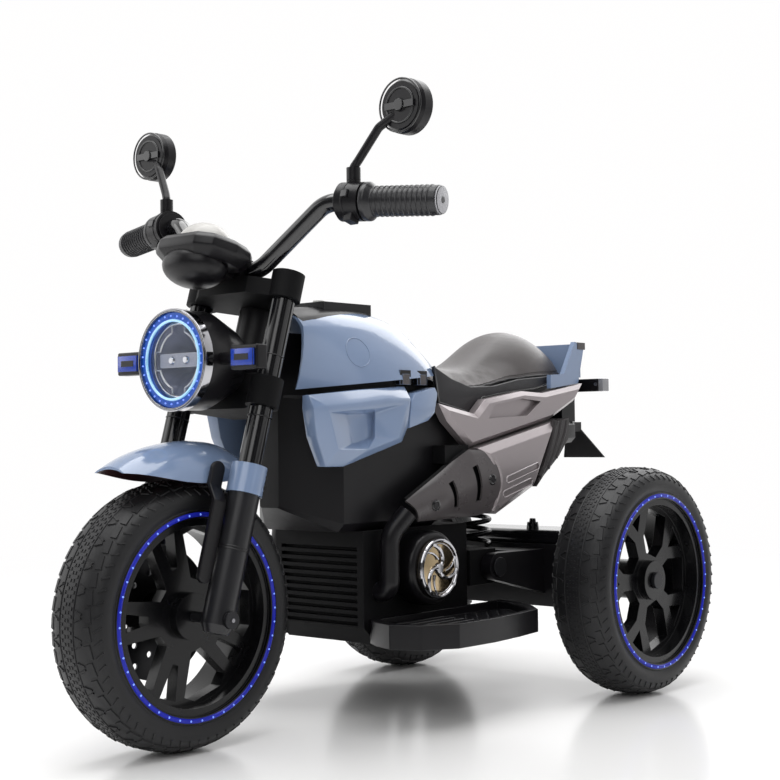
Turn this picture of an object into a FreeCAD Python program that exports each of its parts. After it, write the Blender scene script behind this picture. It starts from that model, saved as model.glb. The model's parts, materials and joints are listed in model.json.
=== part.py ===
import FreeCAD, Part
import math
import os
import re

import Sketcher
from FreeCAD import Placement, Rotation, Vector

# Driving dimensions, in millimetres and degrees, copied into the sheet
SIZES = {
    # Whole bike: front is toward -Y, left is +X, and the floor is at zero
    "wheel_radius": 150, "wheelbase": 625.6, "rear_overhang": 193.4, "rear_half_track": 206,
    "body_setback": 334.5, "wall": 3, "run_gap": 0.05, "seat_gap": 0.3, "overrun": 20,
    # Tyres, rims, light rings and brake disc
    "bead_radius": 108, "bead_half_width": 37, "ring_seat_radius": 118, "shoulder_radius": 143,
    "shoulder_half_width": 35, "sidewall_round": 16, "tread_groove_place": 15, "tread_groove_width": 4,
    "tread_groove_depth": 5, "tread_notch_start": 22, "tread_notch_width": 7, "tread_notch_floor": 141,
    "barrel_wall": 8, "hub_radius": 26, "hub_half_length": 31, "web_outer": 19, "web_inner": 3,
    "light_ring_inner": 108.5, "light_ring_outer": 116.5, "light_ring_depth": 4,
    "disc_radius": 76, "disc_bore": 20, "disc_thickness": 3, "disc_hole_radius": 3.5,
    "axle_radius": 6, "axle_head_radius": 10, "axle_head_length": 5,
    # Fork: legs on a raked line through the axle, stem parallel behind it
    "rake": 16.5, "fork_half_width": 70, "stem_setback": 30, "leg_radius": 18, "leg_foot": 16,
    "leg_top": 139, "leg_toe_radius": 13, "leg_toe_rise": 9, "collar_radius": 20.5, "collar_top": 172,
    "tube_radius": 13.5, "tube_rise": 22, "yoke_sleeve_radius": 19, "lower_yoke_base": 240,
    "lower_yoke_top": 274, "upper_yoke_base": 368, "yoke_plate": 20, "yoke_cap_rise": 32,
    "lower_yoke_lead": -2, "upper_yoke_lead": 34, "yoke_side_depth": 13, "yoke_tail_half_width": 24,
    "yoke_tail_reach": 45, "stem_radius": 12, "neck_radius": 17, "neck_cover_radius": 23, "neck_cover_gap": 2,
    # Handlebar and what it carries
    "bar_radius": 10.5, "bar_rise": 31, "bar_lead": 20, "clamp_half_width": 27, "clamp_half_depth": 15,
    "clamp_rise": 44, "bar_flat": 42, "bar_shoulder": 125, "bar_shoulder_lead": 17, "bar_shoulder_rise": 76,
    "bar_end": 264, "bar_end_rise": 77, "bar_end_back": 18, "bar_bend": 14, "switch_start": 22,
    "switch_radius": 22, "switch_length": 28, "grip_gap": 2, "grip_radius": 16.5, "grip_flange_radius": 22,
    "grip_flange": 6, "grip_cap": 3, "grip_cap_radius": 15.5,
    # Gauge pod on the clamp
    "pod_half_width": 58, "pod_half_depth": 43, "pod_rise": 26, "pod_lead": 58,
    "dome_half_width": 44, "dome_half_depth": 31, "dome_rise": 26,
    # Mirrors
    "mirror_radius": 31, "mirror_depth": 20, "mirror_rim": 3, "mirror_glass": 2, "mirror_stalk_radius": 5,
    "mirror_foot_radius": 8, "mirror_foot_height": 14, "mirror_boss": 2, "mirror_place": 36, "mirror_out": 55,
    "mirror_back": 27, "mirror_rise": 79, "mirror_knee_out": 5, "mirror_knee_back": 3, "mirror_knee_rise": 22,
    "mirror_elbow_out": 28, "mirror_elbow_back": 12, "mirror_elbow_rise": 57,
    # Headlight and front signals
    "lamp_height": 434, "lamp_face_lead": 4, "bezel_radius": 58, "bezel_bore": 53.8, "bezel_lip_bore": 40,
    "bezel_depth": 12, "bezel_lip": 3, "lamp_ring_inner": 45.5, "lamp_ring_outer": 53.5, "lamp_ring_depth": 6,
    "lens_radius": 45.2, "lens_rise": 6, "lens_edge": 3, "bucket_radius": 56.5, "bucket_straight": 30,
    "bucket_back_radius": 40, "bucket_length": 66, "reflector_flange": 52, "reflector_depth": 28,
    "reflector_wall": 2, "reflector_floor_radius": 14, "ear_depth": 5, "ear_half_height": 14, "ear_half_length": 68,
    "signal_stem_radius": 7, "signal_start": 76, "signal_end": 119,
    "signal_half_height": 13.5, "signal_half_depth": 8, "signal_lens": 3, "signal_lens_margin": 4,
    # Front fender and its braces
    "fender_lead": 91.5, "fender_length": 164, "fender_half_width": 48.3, "fender_crown": 193,
    "fender_depth": 46, "brace_width": 18, "brace_thickness": 6, "brace_top": 160, "brace_knee": 142,
    "brace_elbow": 124, "brace_foot": 42, "brace_out": 63, "brace_gap": 1,
    # Body halves with spine and neck
    "hull_front": -188, "hull_nose": 16, "hull_half_width": 72, "hull_full": -135, "waist_inset": 22,
    "beam_setback": 38, "hull_beam_half_width": 66, "hull_tail_lead": 24, "hull_end_half_width": 50,
    "hull_base": 232, "hull_nose_base": 262, "hull_top": 396, "hull_beam_top": 366, "hull_beam_base": 330,
    "spine_half_width": 20, "spine_front": -205, "spine_inset": 47, "spine_top": 470, "riser_gap": 6,
    "riser_depth": 33, "riser_top": 426,
    # Tank cover
    "tank_front": -216, "tank_length": 278, "tank_half_width": 88, "tank_base": 400, "tank_base_rise": 24,
    "tank_height": 105, "tank_nose_offset": 56, "tank_rib": 3, "tank_front_rib": -150, "tank_rib_inset": 60,
    # Control panel on the tank
    "panel_front": -120, "panel_length": 86, "panel_half_width": 28, "panel_top": 511, "button_radius": 7,
    "button_height": 9, "button_travel": 2.5, "button_pocket": 8, "button_place": 20, "rocker_half_length": 9,
    "rocker_half_width": 6, "rocker_place": 60, "rocker_rise": 3, "rocker_depth": 8, "rocker_slot_margin": 2,
    "rocker_pin": 2, "rocker_pin_reach": 4, "rocker_pin_drop": 3,
    # Blue side panels
    "side_outer": 98, "side_bevel": 12, "side_cavity": 10, "side_front": -206, "side_length": 216,
    "side_top": 408, "side_height": 98, "side_recess": 8,
    # Engine, clutch covers, header pipes
    "engine_front": -105, "engine_length": 200, "engine_half_width": 75, "engine_base": 94,
    "engine_chamfer": 22, "fin_pitch": 9, "fin_gap": 4, "fin_depth": 7, "fin_base": 118,
    "clutch_place": -6.5, "clutch_height": 182, "drum_radius": 46, "drum_depth": 31, "drum_round": 8,
    "clutch_disc_radius": 37, "clutch_disc_depth": 6, "clutch_dish": 3, "header_radius": 12, "header_place": -78,
    "header_base": 158, "header_out": 93, "header_knee": 226, "header_end_out": 105, "header_gap": 4,
    "header_end_height": 253, "header_bend": 13,
    # Footboards and accelerator pedal
    "board_front": -122, "board_length": 287, "board_outer": 192, "board_base": 97, "board_top": 126,
    "board_floor": 116, "rib_width": 5, "rib_height": 4, "rib_pitch": 16, "rib_length": 90,
    "rib_start": -70, "rib_inset": 20, "short_rib_start": 46, "short_rib_length": 48,
    "pedal_length": 66, "pedal_half_width": 22, "pedal_thickness": 7, "pedal_pin": 3,
    "pedal_place": 138, "pedal_heel": 30, "pedal_lift": 12, "lug_width": 6, "lug_half_depth": 6, "pin_height": 6,
    # Heat shields, silencers and tail panels
    "tail_inner": 78, "tail_panel_outer": 96, "tail_panel_bevel": 6, "silencer_outer": 112,
    "silencer_bevel": 10, "shield_inner": 97, "shield_outer": 113, "shield_bevel": 6, "tail_front": 22,
    "tail_short": 1, "tail_base": 239, "tail_height": 178, "tail_recess": 8, "boss_radius": 8,
    "slot_width": 6, "slot_length": 34, "silencer_slot_width": 8, "silencer_slot_depth": 2,
    # Seat, tail cowl, lights, plate bracket
    "seat_lead": 4, "seat_length": 280, "seat_half_width": 74, "seat_crown": 486, "seat_seam": 410,
    "cowl_outer": 86, "cowl_thickness": 7, "cowl_lead": 72, "cowl_base": 409, "cowl_height": 67,
    "cowl_length": 84, "rear_signal_end": 110, "rear_signal_lead": 17,
    "rear_signal_depth": 16, "rear_signal_base": 406, "rear_signal_height": 18, "rear_lens_length": 8,
    "tail_lamp_height": 394, "tail_lamp_radius": 16, "tail_lamp_length": 26, "tail_lens_length": 14,
    "plate_top_half_width": 13, "plate_half_width": 37, "plate_thickness": 4, "plate_base": 309,
    "plate_top": 352, "plate_lean": 28, "plate_arm_height": 14,
    # Battery and control box inside the body halves
    "battery_front": -128, "battery_length": 70, "battery_half_width": 45, "battery_height": 95,
    "control_front": -50, "control_length": 76, "control_half_width": 40, "control_height": 40,
    # Swing arm, axle housing, gearboxes, spring
    "pivot_place": 132.5, "pivot_height": 173, "pivot_radius": 8, "bracket_half_width": 80,
    "bracket_half_height": 23, "bracket_rear": 150, "arm_inner": 82, "arm_outer": 98, "arm_eye": 18,
    "housing_half_width": 135, "housing_lead": 56, "housing_trail": 54, "housing_base": 112,
    "housing_top": 196, "cover_rise": 18, "cover_margin": 8, "cover_half_width": 120, "gearbox_radius": 46,
    "gearbox_end": 162, "bridge_front": 182, "bridge_height": 15, "bridge_top": 190, "spring_place": 208,
    "spring_radius": 20, "spring_wire": 3.5, "cap_radius": 11, "cap_length": 5,
}
# Sizes that follow others, so that pieces which meet stay together
TIES = {
    "tube_top": "upper_yoke_base + tube_rise", "yoke_cap_top": "upper_yoke_base + yoke_cap_rise",
    "bar_height": "upper_yoke_base + bar_rise", "clamp_top": "upper_yoke_base + clamp_rise",
    "tank_end": "tank_front + tank_length", "tank_rear_rib": "tank_end - tank_rib_inset",
    "spine_rear": "tank_end - spine_inset", "hull_waist": "tank_end - waist_inset",
    "hull_beam": "tank_end + beam_setback", "seat_front": "tank_end + seat_lead",
    "seat_end": "seat_front + seat_length", "hull_tail": "seat_end - hull_tail_lead",
    "riser_front": "seat_end + riser_gap", "hull_end": "riser_front + riser_depth",
    "cowl_front": "seat_end - cowl_lead", "rear_signal_front": "hull_end - rear_signal_lead",
    "tail_length": "seat_end - tail_front - tail_short",
}
SPOKES = 5
TREAD_NOTCHES = 30
DISC_HOLES = 12
SPRING_TURNS = 8
FIN_COUNT = 11
RIB_COUNT = 5

DOC = FreeCAD.newDocument("Motorbike")
SHEET = DOC.addObject("Spreadsheet::Sheet", "Sizes")
CELLS = {alias: str(value) for alias, value in SIZES.items()}
CELLS.update({alias: f"={text}" for alias, text in TIES.items()})
for row, (alias, content) in enumerate(CELLS.items(), start=1):
    SHEET.set(f"A{row}", alias)
    SHEET.set(f"B{row}", content)
    SHEET.setAlias(f"B{row}", alias)
DOC.recompute()


class Cells:
    """Read access to the aliased cells of the sheet."""

    def __getattr__(self, alias):
        return float(SHEET.get(alias))


s = Cells()
FRONT_Y = (s.wheel_radius - s.wheelbase - s.rear_overhang) / 2
REAR_Y = FRONT_Y + s.wheelbase
BODY_Y = FRONT_Y + s.body_setback
FRONT_Y_TEXT = "(wheel_radius - wheelbase - rear_overhang) / 2"
REAR_Y_TEXT = "(wheel_radius + wheelbase - rear_overhang) / 2"
BODY_Y_TEXT = f"{FRONT_Y_TEXT} + body_setback"
FORK = Placement(Vector(0, FRONT_Y, s.wheel_radius), Rotation(Vector(1, 0, 0), -s.rake))
NODES = []


def keep(piece, label):
    """Name a finished piece and list it for export."""
    piece.Label = label
    NODES.append(piece)
    return piece


def bound(text):
    """Point each alias in an expression at its cell."""
    return re.sub(r"[a-z_]+", lambda word: f"Sizes.{word[0]}" if word[0] in CELLS else word[0], str(text))


def value_of(text):
    """Work out an expression over the cells."""
    return float(SHEET.evalExpression(bound(text).replace("Sizes.", "")))


def tie(sketch, kind, spot, text):
    """Add one size to a sketch and bind it to its expression."""
    row = sketch.addConstraint(Sketcher.Constraint(kind, *spot, value_of(text)))
    sketch.setExpression(f"Constraints[{row}]", bound(text))


def arc_middle(start, stop, radius):
    """Find the middle of the short arc from start to stop, turning left for a positive radius."""
    chord = stop - start
    left = Vector(-chord.y, chord.x, 0).normalize()
    rise = math.sqrt(radius ** 2 - (chord.Length / 2) ** 2)
    side = math.copysign(1, radius)
    return (start + stop) / 2 - left * side * (abs(radius) - rise)


def draw(sketch, corners):
    """Close an outline whose corners are expressions: (across, up) or (across, up, radius of the arc to it)."""
    first = sketch.GeometryCount
    count = len(corners)
    spots = [Vector(value_of(corner[0]), value_of(corner[1]), 0) for corner in corners]
    ends = []
    for index in range(count):
        after = (index + 1) % count
        if len(corners[after]) == 2:
            sketch.addGeometry(Part.LineSegment(spots[index], spots[after]))
            ends.append((1, 2))
            continue
        radius = value_of(corners[after][2])
        sketch.addGeometry(Part.Arc(spots[index], arc_middle(spots[index], spots[after], radius), spots[after]))
        ends.append((1, 2) if radius > 0 else (2, 1))
        tie(sketch, "Radius", (first + index,), f"abs({corners[after][2]})")
    for index, corner in enumerate(corners):
        before = (index - 1) % count
        joint = (first + before, ends[before][1], first + index, ends[index][0])
        sketch.addConstraint(Sketcher.Constraint("Coincident", *joint))
        tie(sketch, "DistanceX", (-1, 1, first + index, ends[index][0]), corner[0])
        tie(sketch, "DistanceY", (-1, 1, first + index, ends[index][0]), corner[1])


def draw_circle(sketch, across, up, radius):
    """Draw a circle bound to its expressions."""
    first = sketch.GeometryCount
    centre = Vector(value_of(across), value_of(up), 0)
    sketch.addGeometry(Part.Circle(centre, Vector(0, 0, 1), value_of(radius)))
    tie(sketch, "DistanceX", (-1, 1, first, 3), across)
    tie(sketch, "DistanceY", (-1, 1, first, 3), up)
    tie(sketch, "Radius", (first,), radius)


def new_body(label):
    """Start a body."""
    piece = DOC.addObject("PartDesign::Body", label)
    piece.Label = label
    return piece


def new_sketch(piece, role, offset=0):
    """Lay a sketch on one of the body's origin planes, moved along its normal."""
    sketch = piece.newObject("Sketcher::SketchObject", "outline")
    support = [plane for plane in piece.Origin.OriginFeatures if plane.Role == role]
    sketch.AttachmentSupport = [(support[0], "")]
    sketch.MapMode = "FlatFace"
    sketch.setExpression(".AttachmentOffset.Base.z", bound(offset))
    return sketch


def revolve(piece, corners, axis="H_Axis", role="XY_Plane", kind="PartDesign::Revolution"):
    """Turn an outline about an axis of its sketch."""
    sketch = new_sketch(piece, role)
    draw(sketch, corners)
    turned = piece.newObject(kind, "turned")
    turned.Profile = sketch
    turned.ReferenceAxis = (sketch, [axis])
    turned.Angle = 360.0
    return turned


def pad(piece, sketch, length):
    """Raise a sketch along its normal."""
    raised = piece.newObject("PartDesign::Pad", "raised")
    raised.Profile = sketch
    raised.setExpression("Length", bound(length))
    return raised


def pocket(piece, sketch, length, upward=False):
    """Cut a sketch into the body, against its normal or along it."""
    DOC.recompute()
    before = piece.Shape.Volume
    sunk = piece.newObject("PartDesign::Pocket", "sunk")
    sunk.Profile = sketch
    sunk.setExpression("Length", bound(length))
    sunk.Reversed = upward
    DOC.recompute()
    if piece.Shape.Volume >= before:
        raise RuntimeError(f"{piece.Label}: a pocket cuts nothing")
    return sunk


def polar(piece, cut, count, role="X_Axis"):
    """Repeat a feature round one of the body's origin axes."""
    axis = [line for line in piece.Origin.OriginFeatures if line.Role == role]
    ring = piece.newObject("PartDesign::PolarPattern", "ring")
    ring.Originals = [cut]
    ring.Axis = (axis[0], [""])
    ring.Angle = 360.0
    ring.Occurrences = count
    piece.Tip = ring
    return ring


def place(piece, across=0, along=0, up=0, turn=0):
    """Bind a body's place to expressions, turned about the vertical."""
    piece.Placement = Placement(Vector(), Rotation(Vector(0, 0, 1), turn))
    for axis, text in zip("xyz", (across, along, up)):
        piece.setExpression(f".Placement.Base.{axis}", bound(text))
    return piece


def compound(label, pieces):
    """Keep several loose pieces as one node."""
    group = DOC.addObject("Part::Compound", label)
    group.Links = pieces
    return keep(group, label)


def solid_node(label, shape):
    """Keep a shape made by lofts, sweeps or cuts as one node."""
    piece = DOC.addObject("Part::Feature", label)
    piece.Shape = shape
    return keep(piece, label)


def box_between(low, high):
    """Make a block between two opposite corners."""
    size = high - low
    return Part.makeBox(size.x, size.y, size.z, low)


def polygon(points):
    """Make a closed wire through points."""
    return Part.makePolygon(points + points[:1])


def prism(points, reach):
    """Push a flat outline along a vector."""
    return Part.Face(polygon(points)).extrude(reach)


def loft(wires, ruled=False):
    """Make a solid through closed wires."""
    return Part.makeLoft(wires, True, ruled)


def rounded_path(points, bend):
    """Join points by straight lines with an arc in each corner, starting a bend length away from it."""
    edges = []
    start = points[0]
    for before, corner, after in zip(points, points[1:], points[2:]):
        back = (before - corner).normalize()
        ahead = (after - corner).normalize()
        half = back.getAngle(ahead) / 2
        radius = bend * math.tan(half)
        middle = corner + (back + ahead).normalize() * (radius / math.sin(half) - radius)
        leave = corner + ahead * bend
        edges.append(Part.makeLine(start, corner + back * bend))
        edges.append(Part.Arc(corner + back * bend, middle, leave).toShape())
        start = leave
    edges.append(Part.makeLine(start, points[-1]))
    return Part.Wire(edges)


def pipe(path, radius):
    """Sweep a round bar along a path."""
    first = path.Edges[0]
    start = first.valueAt(first.FirstParameter)
    section = Part.Wire(Part.makeCircle(radius, start, first.tangentAt(first.FirstParameter)))
    return path.makePipeShell([section], True, True)


def mirrored(shape):
    """Give the right-hand twin of a left-hand shape."""
    return shape.mirror(Vector(), Vector(1, 0, 0))


def both_sides(label, shape):
    """Keep a left-hand shape and its right-hand twin as two nodes."""
    solid_node(f"{label}_left", shape)
    solid_node(f"{label}_right", mirrored(shape))


def twins(label, shape):
    """Keep a left-hand shape and its right-hand twin as one node of two solids."""
    solid_node(label, Part.makeCompound([shape, mirrored(shape)]))


def rectangle(left, bottom, right, top):
    """List the corners of an upright rectangle."""
    return [(left, bottom), (right, bottom), (right, top), (left, top)]


# Wheels: treaded tyres, spoked rims, light rings and a drilled brake disc
CROWN_ROUND = "(shoulder_half_width^2 + (wheel_radius - shoulder_radius)^2) / (2 * (wheel_radius - shoulder_radius))"
BARREL_INNER = "(bead_radius - run_gap - barrel_wall)"
# Each window corner is a share of the barrel's inner radius and an angle in degrees
TWIN_SPOKE_SHARES = (
    ((0.42, -10), (0.90, -21), (0.96, -12), (0.96, 12), (0.90, 21), (0.42, 10)),
    ((0.55, 32), (0.94, 29), (0.94, 43), (0.55, 40)),
)
FORKED_SPOKE_SHARES = (
    ((0.36, -20), (0.58, -25), (0.95, -14), (0.95, 14), (0.58, 25), (0.36, 20)),
    ((0.68, 36), (0.95, 26), (0.95, 46)),
)


def make_tyre(label):
    """Turn a tyre, groove its crown and notch its shoulders."""
    piece = new_body(label)
    revolve(piece, [
        ("-bead_half_width", "bead_radius"),
        ("bead_half_width", "bead_radius"),
        ("bead_half_width", "ring_seat_radius"),
        ("shoulder_half_width", "shoulder_radius", "sidewall_round"),
        ("-shoulder_half_width", "shoulder_radius", CROWN_ROUND),
        ("-bead_half_width", "ring_seat_radius", "sidewall_round"),
    ])
    channels = new_sketch(piece, "XY_Plane")
    notches = new_sketch(piece, "XY_Plane", "tread_notch_floor")
    for side in (-1, 1):
        middle = f"{side} * tread_groove_place"
        draw(channels, rectangle(
            f"{middle} - tread_groove_width / 2", "wheel_radius - tread_groove_depth",
            f"{middle} + tread_groove_width / 2", "wheel_radius + overrun"))
        draw(notches, rectangle(
            f"{side} * tread_notch_start", "-tread_notch_width / 2",
            f"{side} * (bead_half_width + overrun)", "tread_notch_width / 2"))
    groove = piece.newObject("PartDesign::Groove", "grooves")
    groove.Profile = channels
    groove.ReferenceAxis = (channels, ["H_Axis"])
    groove.Angle = 360.0
    cut = pocket(piece, notches, "wheel_radius - tread_notch_floor + overrun", upward=True)
    polar(piece, cut, TREAD_NOTCHES)
    return keep(piece, label)


def make_rim(label, windows):
    """Turn a barrel, web and hub, then open the web between the spokes."""
    piece = new_body(label)
    bore = "axle_radius + run_gap"
    outer = "bead_radius - run_gap"
    revolve(piece, [
        ("-hub_half_length", bore),
        ("hub_half_length", bore),
        ("hub_half_length", "hub_radius"),
        ("web_outer", "hub_radius"),
        ("web_outer", BARREL_INNER),
        ("bead_half_width", BARREL_INNER),
        ("bead_half_width", outer),
        ("-bead_half_width", outer),
        ("-bead_half_width", BARREL_INNER),
        ("web_inner", BARREL_INNER),
        ("web_inner", "hub_radius"),
        ("-hub_half_length", "hub_radius"),
    ])
    sketch = new_sketch(piece, "YZ_Plane", "web_outer + overrun")
    for corners in windows:
        turned = [(share * math.cos(math.radians(angle)), share * math.sin(math.radians(angle)))
                  for share, angle in corners]
        draw(sketch, [(f"{across:.4f} * {BARREL_INNER}", f"{up:.4f} * {BARREL_INNER}") for across, up in turned])
    cut = pocket(piece, sketch, "web_outer - web_inner + 2 * overrun")
    polar(piece, cut, SPOKES)
    return keep(piece, label)


def make_light_ring(label):
    """Turn a light ring that lies on the tyre's ring seat."""
    piece = new_body(label)
    revolve(piece, rectangle(
        "bead_half_width", "light_ring_inner", "bead_half_width + light_ring_depth", "light_ring_outer"))
    return piece


def make_brake_disc():
    """Turn the brake disc against the hub's right end and drill two rings of holes."""
    piece = new_body("brake_disc")
    revolve(piece, rectangle("-hub_half_length - disc_thickness", "disc_bore", "-hub_half_length", "disc_radius"))
    drill = new_sketch(piece, "YZ_Plane", "overrun - hub_half_length")
    half_pitch = math.radians(180 / DISC_HOLES)
    inner_share = 0.62
    draw_circle(drill, "disc_radius - 3 * disc_hole_radius", "0", "disc_hole_radius")
    draw_circle(
        drill, f"{inner_share * math.cos(half_pitch):.4f} * disc_radius",
        f"{inner_share * math.sin(half_pitch):.4f} * disc_radius", "disc_hole_radius")
    cut = pocket(piece, drill, "2 * overrun")
    polar(piece, cut, DISC_HOLES)
    return keep(piece, "brake_disc")


def make_axle(label, half_length, head_radius, head_length):
    """Turn a plain axle with a head on each end."""
    piece = new_body(label)
    end = f"({half_length} + {head_length})"
    revolve(piece, [
        (f"-{end}", "0"),
        (end, "0"),
        (end, head_radius),
        (half_length, head_radius),
        (half_length, "axle_radius"),
        (f"-({half_length})", "axle_radius"),
        (f"-({half_length})", head_radius),
        (f"-{end}", head_radius),
    ])
    return keep(piece, label)


front_spot = (0, FRONT_Y_TEXT, "wheel_radius")
for piece in (make_tyre("front_tyre"), make_rim("front_rim", TWIN_SPOKE_SHARES), make_brake_disc()):
    place(piece, *front_spot)
rings = [place(make_light_ring("front_ring_left"), *front_spot)]
rings.append(place(make_light_ring("front_ring_right"), *front_spot, turn=180))
compound("front_light_rings", rings)
place(make_axle("front_axle", "(fork_half_width + leg_radius + seat_gap)", "axle_head_radius", "axle_head_length"),
      *front_spot)
for hand, sign, turn in (("left", 1, 0), ("right", -1, 180)):
    rear_spot = (f"{sign} * rear_half_track", REAR_Y_TEXT, "wheel_radius")
    place(make_tyre(f"rear_tyre_{hand}"), *rear_spot, turn=turn)
    place(make_rim(f"rear_rim_{hand}", FORKED_SPOKE_SHARES), *rear_spot, turn=turn)
    place(keep(make_light_ring(f"rear_light_ring_{hand}"), f"rear_light_ring_{hand}"), *rear_spot, turn=turn)
place(make_axle("rear_axle", "(rear_half_track + hub_half_length + seat_gap)", "cap_radius", "cap_length"),
      0, REAR_Y_TEXT, "wheel_radius")


# Fork: drawn upright about the axle and leaned back by the rake
def fork_spot(across=0, along=0, up=0):
    """Place something given in the fork's own frame."""
    return FORK * Placement(Vector(across, along, up), Rotation())


def fork_pair(label, corners, axle_bore=False):
    """Turn one upright piece for each fork leg."""
    sides = []
    for hand, sign in (("left", 1), ("right", -1)):
        piece = new_body(f"{label}_{hand}")
        revolve(piece, corners, "V_Axis", "XZ_Plane")
        if axle_bore:
            sketch = new_sketch(piece, "YZ_Plane", "leg_radius + overrun")
            draw_circle(sketch, "0", "0", "axle_radius + run_gap")
            pocket(piece, sketch, "2 * (leg_radius + overrun)")
        piece.Placement = fork_spot(sign * s.fork_half_width)
        sides.append(piece)
    return compound(label, sides)


def make_yoke(label, base, sleeve_top, lead, bore_top):
    """Pad a yoke's plate and sleeves, then bore it for the tubes and the stem."""
    piece = new_body(label)
    plate = new_sketch(piece, "XY_Plane", base)
    draw(plate, [
        ("-fork_half_width", "-yoke_side_depth"),
        ("-clamp_half_width - yoke_side_depth", f"-{lead}"),
        ("clamp_half_width + yoke_side_depth", f"-{lead}"),
        ("fork_half_width", "-yoke_side_depth"),
        ("fork_half_width", "yoke_side_depth"),
        ("yoke_tail_half_width", "yoke_tail_reach"),
        ("-yoke_tail_half_width", "yoke_tail_reach"),
        ("-fork_half_width", "yoke_side_depth"),
    ])
    pad(piece, plate, "yoke_plate")
    sleeves = new_sketch(piece, "XY_Plane", base)
    bores = new_sketch(piece, "XY_Plane", f"{base} - overrun")
    for sign in (-1, 1):
        draw_circle(sleeves, f"{sign} * fork_half_width", "0", "yoke_sleeve_radius")
        draw_circle(bores, f"{sign} * fork_half_width", "0", "tube_radius + run_gap")
    draw_circle(bores, "0", "stem_setback", "stem_radius + run_gap")
    pad(piece, sleeves, f"{sleeve_top} - {base}")
    pocket(piece, bores, f"{bore_top} - {base} + overrun", upward=True)
    piece.Placement = FORK
    return keep(piece, label)


def make_stem():
    """Turn the steering stem that joins the yokes."""
    piece = new_body("steering_stem")
    revolve(piece, rectangle("0", "lower_yoke_base", "stem_radius", "upper_yoke_base + yoke_plate"),
            "V_Axis", "XZ_Plane")
    piece.Placement = fork_spot(0, s.stem_setback)
    return keep(piece, "steering_stem")


def make_neck_tube():
    """Turn the sleeve that the stem turns in, between the yokes."""
    piece = new_body("neck_tube")
    revolve(piece, rectangle(
        "stem_radius + run_gap", "lower_yoke_base + yoke_plate + seat_gap",
        "neck_radius", "upper_yoke_base - seat_gap"), "V_Axis", "XZ_Plane")
    piece.Placement = fork_spot(0, s.stem_setback)
    return keep(piece, "neck_tube")


def make_clamp():
    """Pad the handlebar clamp and bore it for the bar."""
    piece = new_body("handlebar_clamp")
    base = "upper_yoke_base + yoke_plate"
    block = new_sketch(piece, "XY_Plane", base)
    draw(block, rectangle("-clamp_half_width", "-bar_lead - clamp_half_depth",
                          "clamp_half_width", "clamp_half_depth - bar_lead"))
    pad(piece, block, f"clamp_top - ({base})")
    bore = new_sketch(piece, "YZ_Plane", "clamp_half_width + overrun")
    draw_circle(bore, "-bar_lead", "bar_height", "bar_radius + run_gap")
    pocket(piece, bore, "2 * (clamp_half_width + overrun)")
    piece.Placement = FORK
    return keep(piece, "handlebar_clamp")


fork_pair("fork_legs", [
    ("0", "-leg_foot"),
    ("leg_toe_radius", "-leg_foot"),
    ("leg_radius", "leg_toe_rise - leg_foot"),
    ("leg_radius", "leg_top"),
    ("0", "leg_top"),
], axle_bore=True)
fork_pair("fork_collars", rectangle("tube_radius + run_gap", "leg_top", "collar_radius", "collar_top"))
fork_pair("fork_tubes", rectangle("0", "leg_top", "tube_radius", "tube_top"))
make_yoke("lower_yoke", "lower_yoke_base", "lower_yoke_top", "lower_yoke_lead", "(lower_yoke_top + overrun)")
make_yoke("upper_yoke", "upper_yoke_base", "yoke_cap_top", "upper_yoke_lead", "(tube_top + seat_gap)")
make_stem()
make_neck_tube()
make_clamp()

# Handlebar: a bent tube in the clamp, with switch housings, grips and end caps
BAR_KNEE = Vector(s.bar_flat, -s.bar_lead, s.bar_height)
BAR_SHOULDER = Vector(s.bar_shoulder, -s.bar_shoulder_lead, s.bar_height + s.bar_shoulder_rise)
BAR_END = Vector(s.bar_end, s.bar_end_back, s.bar_height + s.bar_end_rise)
BAR_REACH = (BAR_END - BAR_SHOULDER).Length


def right_hand(point):
    """Mirror a point to the right-hand side."""
    return Vector(-point.x, point.y, point.z)


def on_bar(label, corners):
    """Turn a piece that sits on each straight end of the bar, measured from the bar's shoulder."""
    sides = []
    for hand in ("left", "right"):
        shoulder, end = BAR_SHOULDER, BAR_END
        if hand == "right":
            shoulder, end = right_hand(shoulder), right_hand(end)
        piece = new_body(f"{label}_{hand}")
        revolve(piece, corners)
        piece.Placement = FORK * Placement(shoulder, Rotation(Vector(1, 0, 0), end - shoulder))
        sides.append(piece)
    return compound(label, sides)


half_bar = [BAR_KNEE, BAR_SHOULDER, BAR_END]
bar_path = rounded_path([right_hand(point) for point in reversed(half_bar)] + half_bar, s.bar_bend)
solid_node("handlebar", pipe(bar_path, s.bar_radius)).Placement = FORK
bar_bore = "bar_radius + run_gap"
grip_start = "switch_start + switch_length + grip_gap"
on_bar("switch_housings", rectangle("switch_start", bar_bore, "switch_start + switch_length", "switch_radius"))
on_bar("grips", [
    (grip_start, bar_bore),
    (f"{BAR_REACH}", bar_bore),
    (f"{BAR_REACH}", "grip_radius"),
    (f"{grip_start} + 2 * grip_flange", "grip_radius"),
    (f"{grip_start} + grip_flange", "grip_flange_radius"),
    (grip_start, "grip_flange_radius"),
])
on_bar("grip_caps", rectangle(f"{BAR_REACH}", "0", f"{BAR_REACH} + grip_cap", "grip_cap_radius"))


# Gauge pod: a bowl on the front of the clamp, with a pale dome
def oval(half_width, half_depth, height):
    """Make an oval wire over the clamp at a height in the fork's frame."""
    return Part.Wire(Part.Ellipse(Vector(0, -s.pod_lead, height), half_width, half_depth).toShape())


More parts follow.
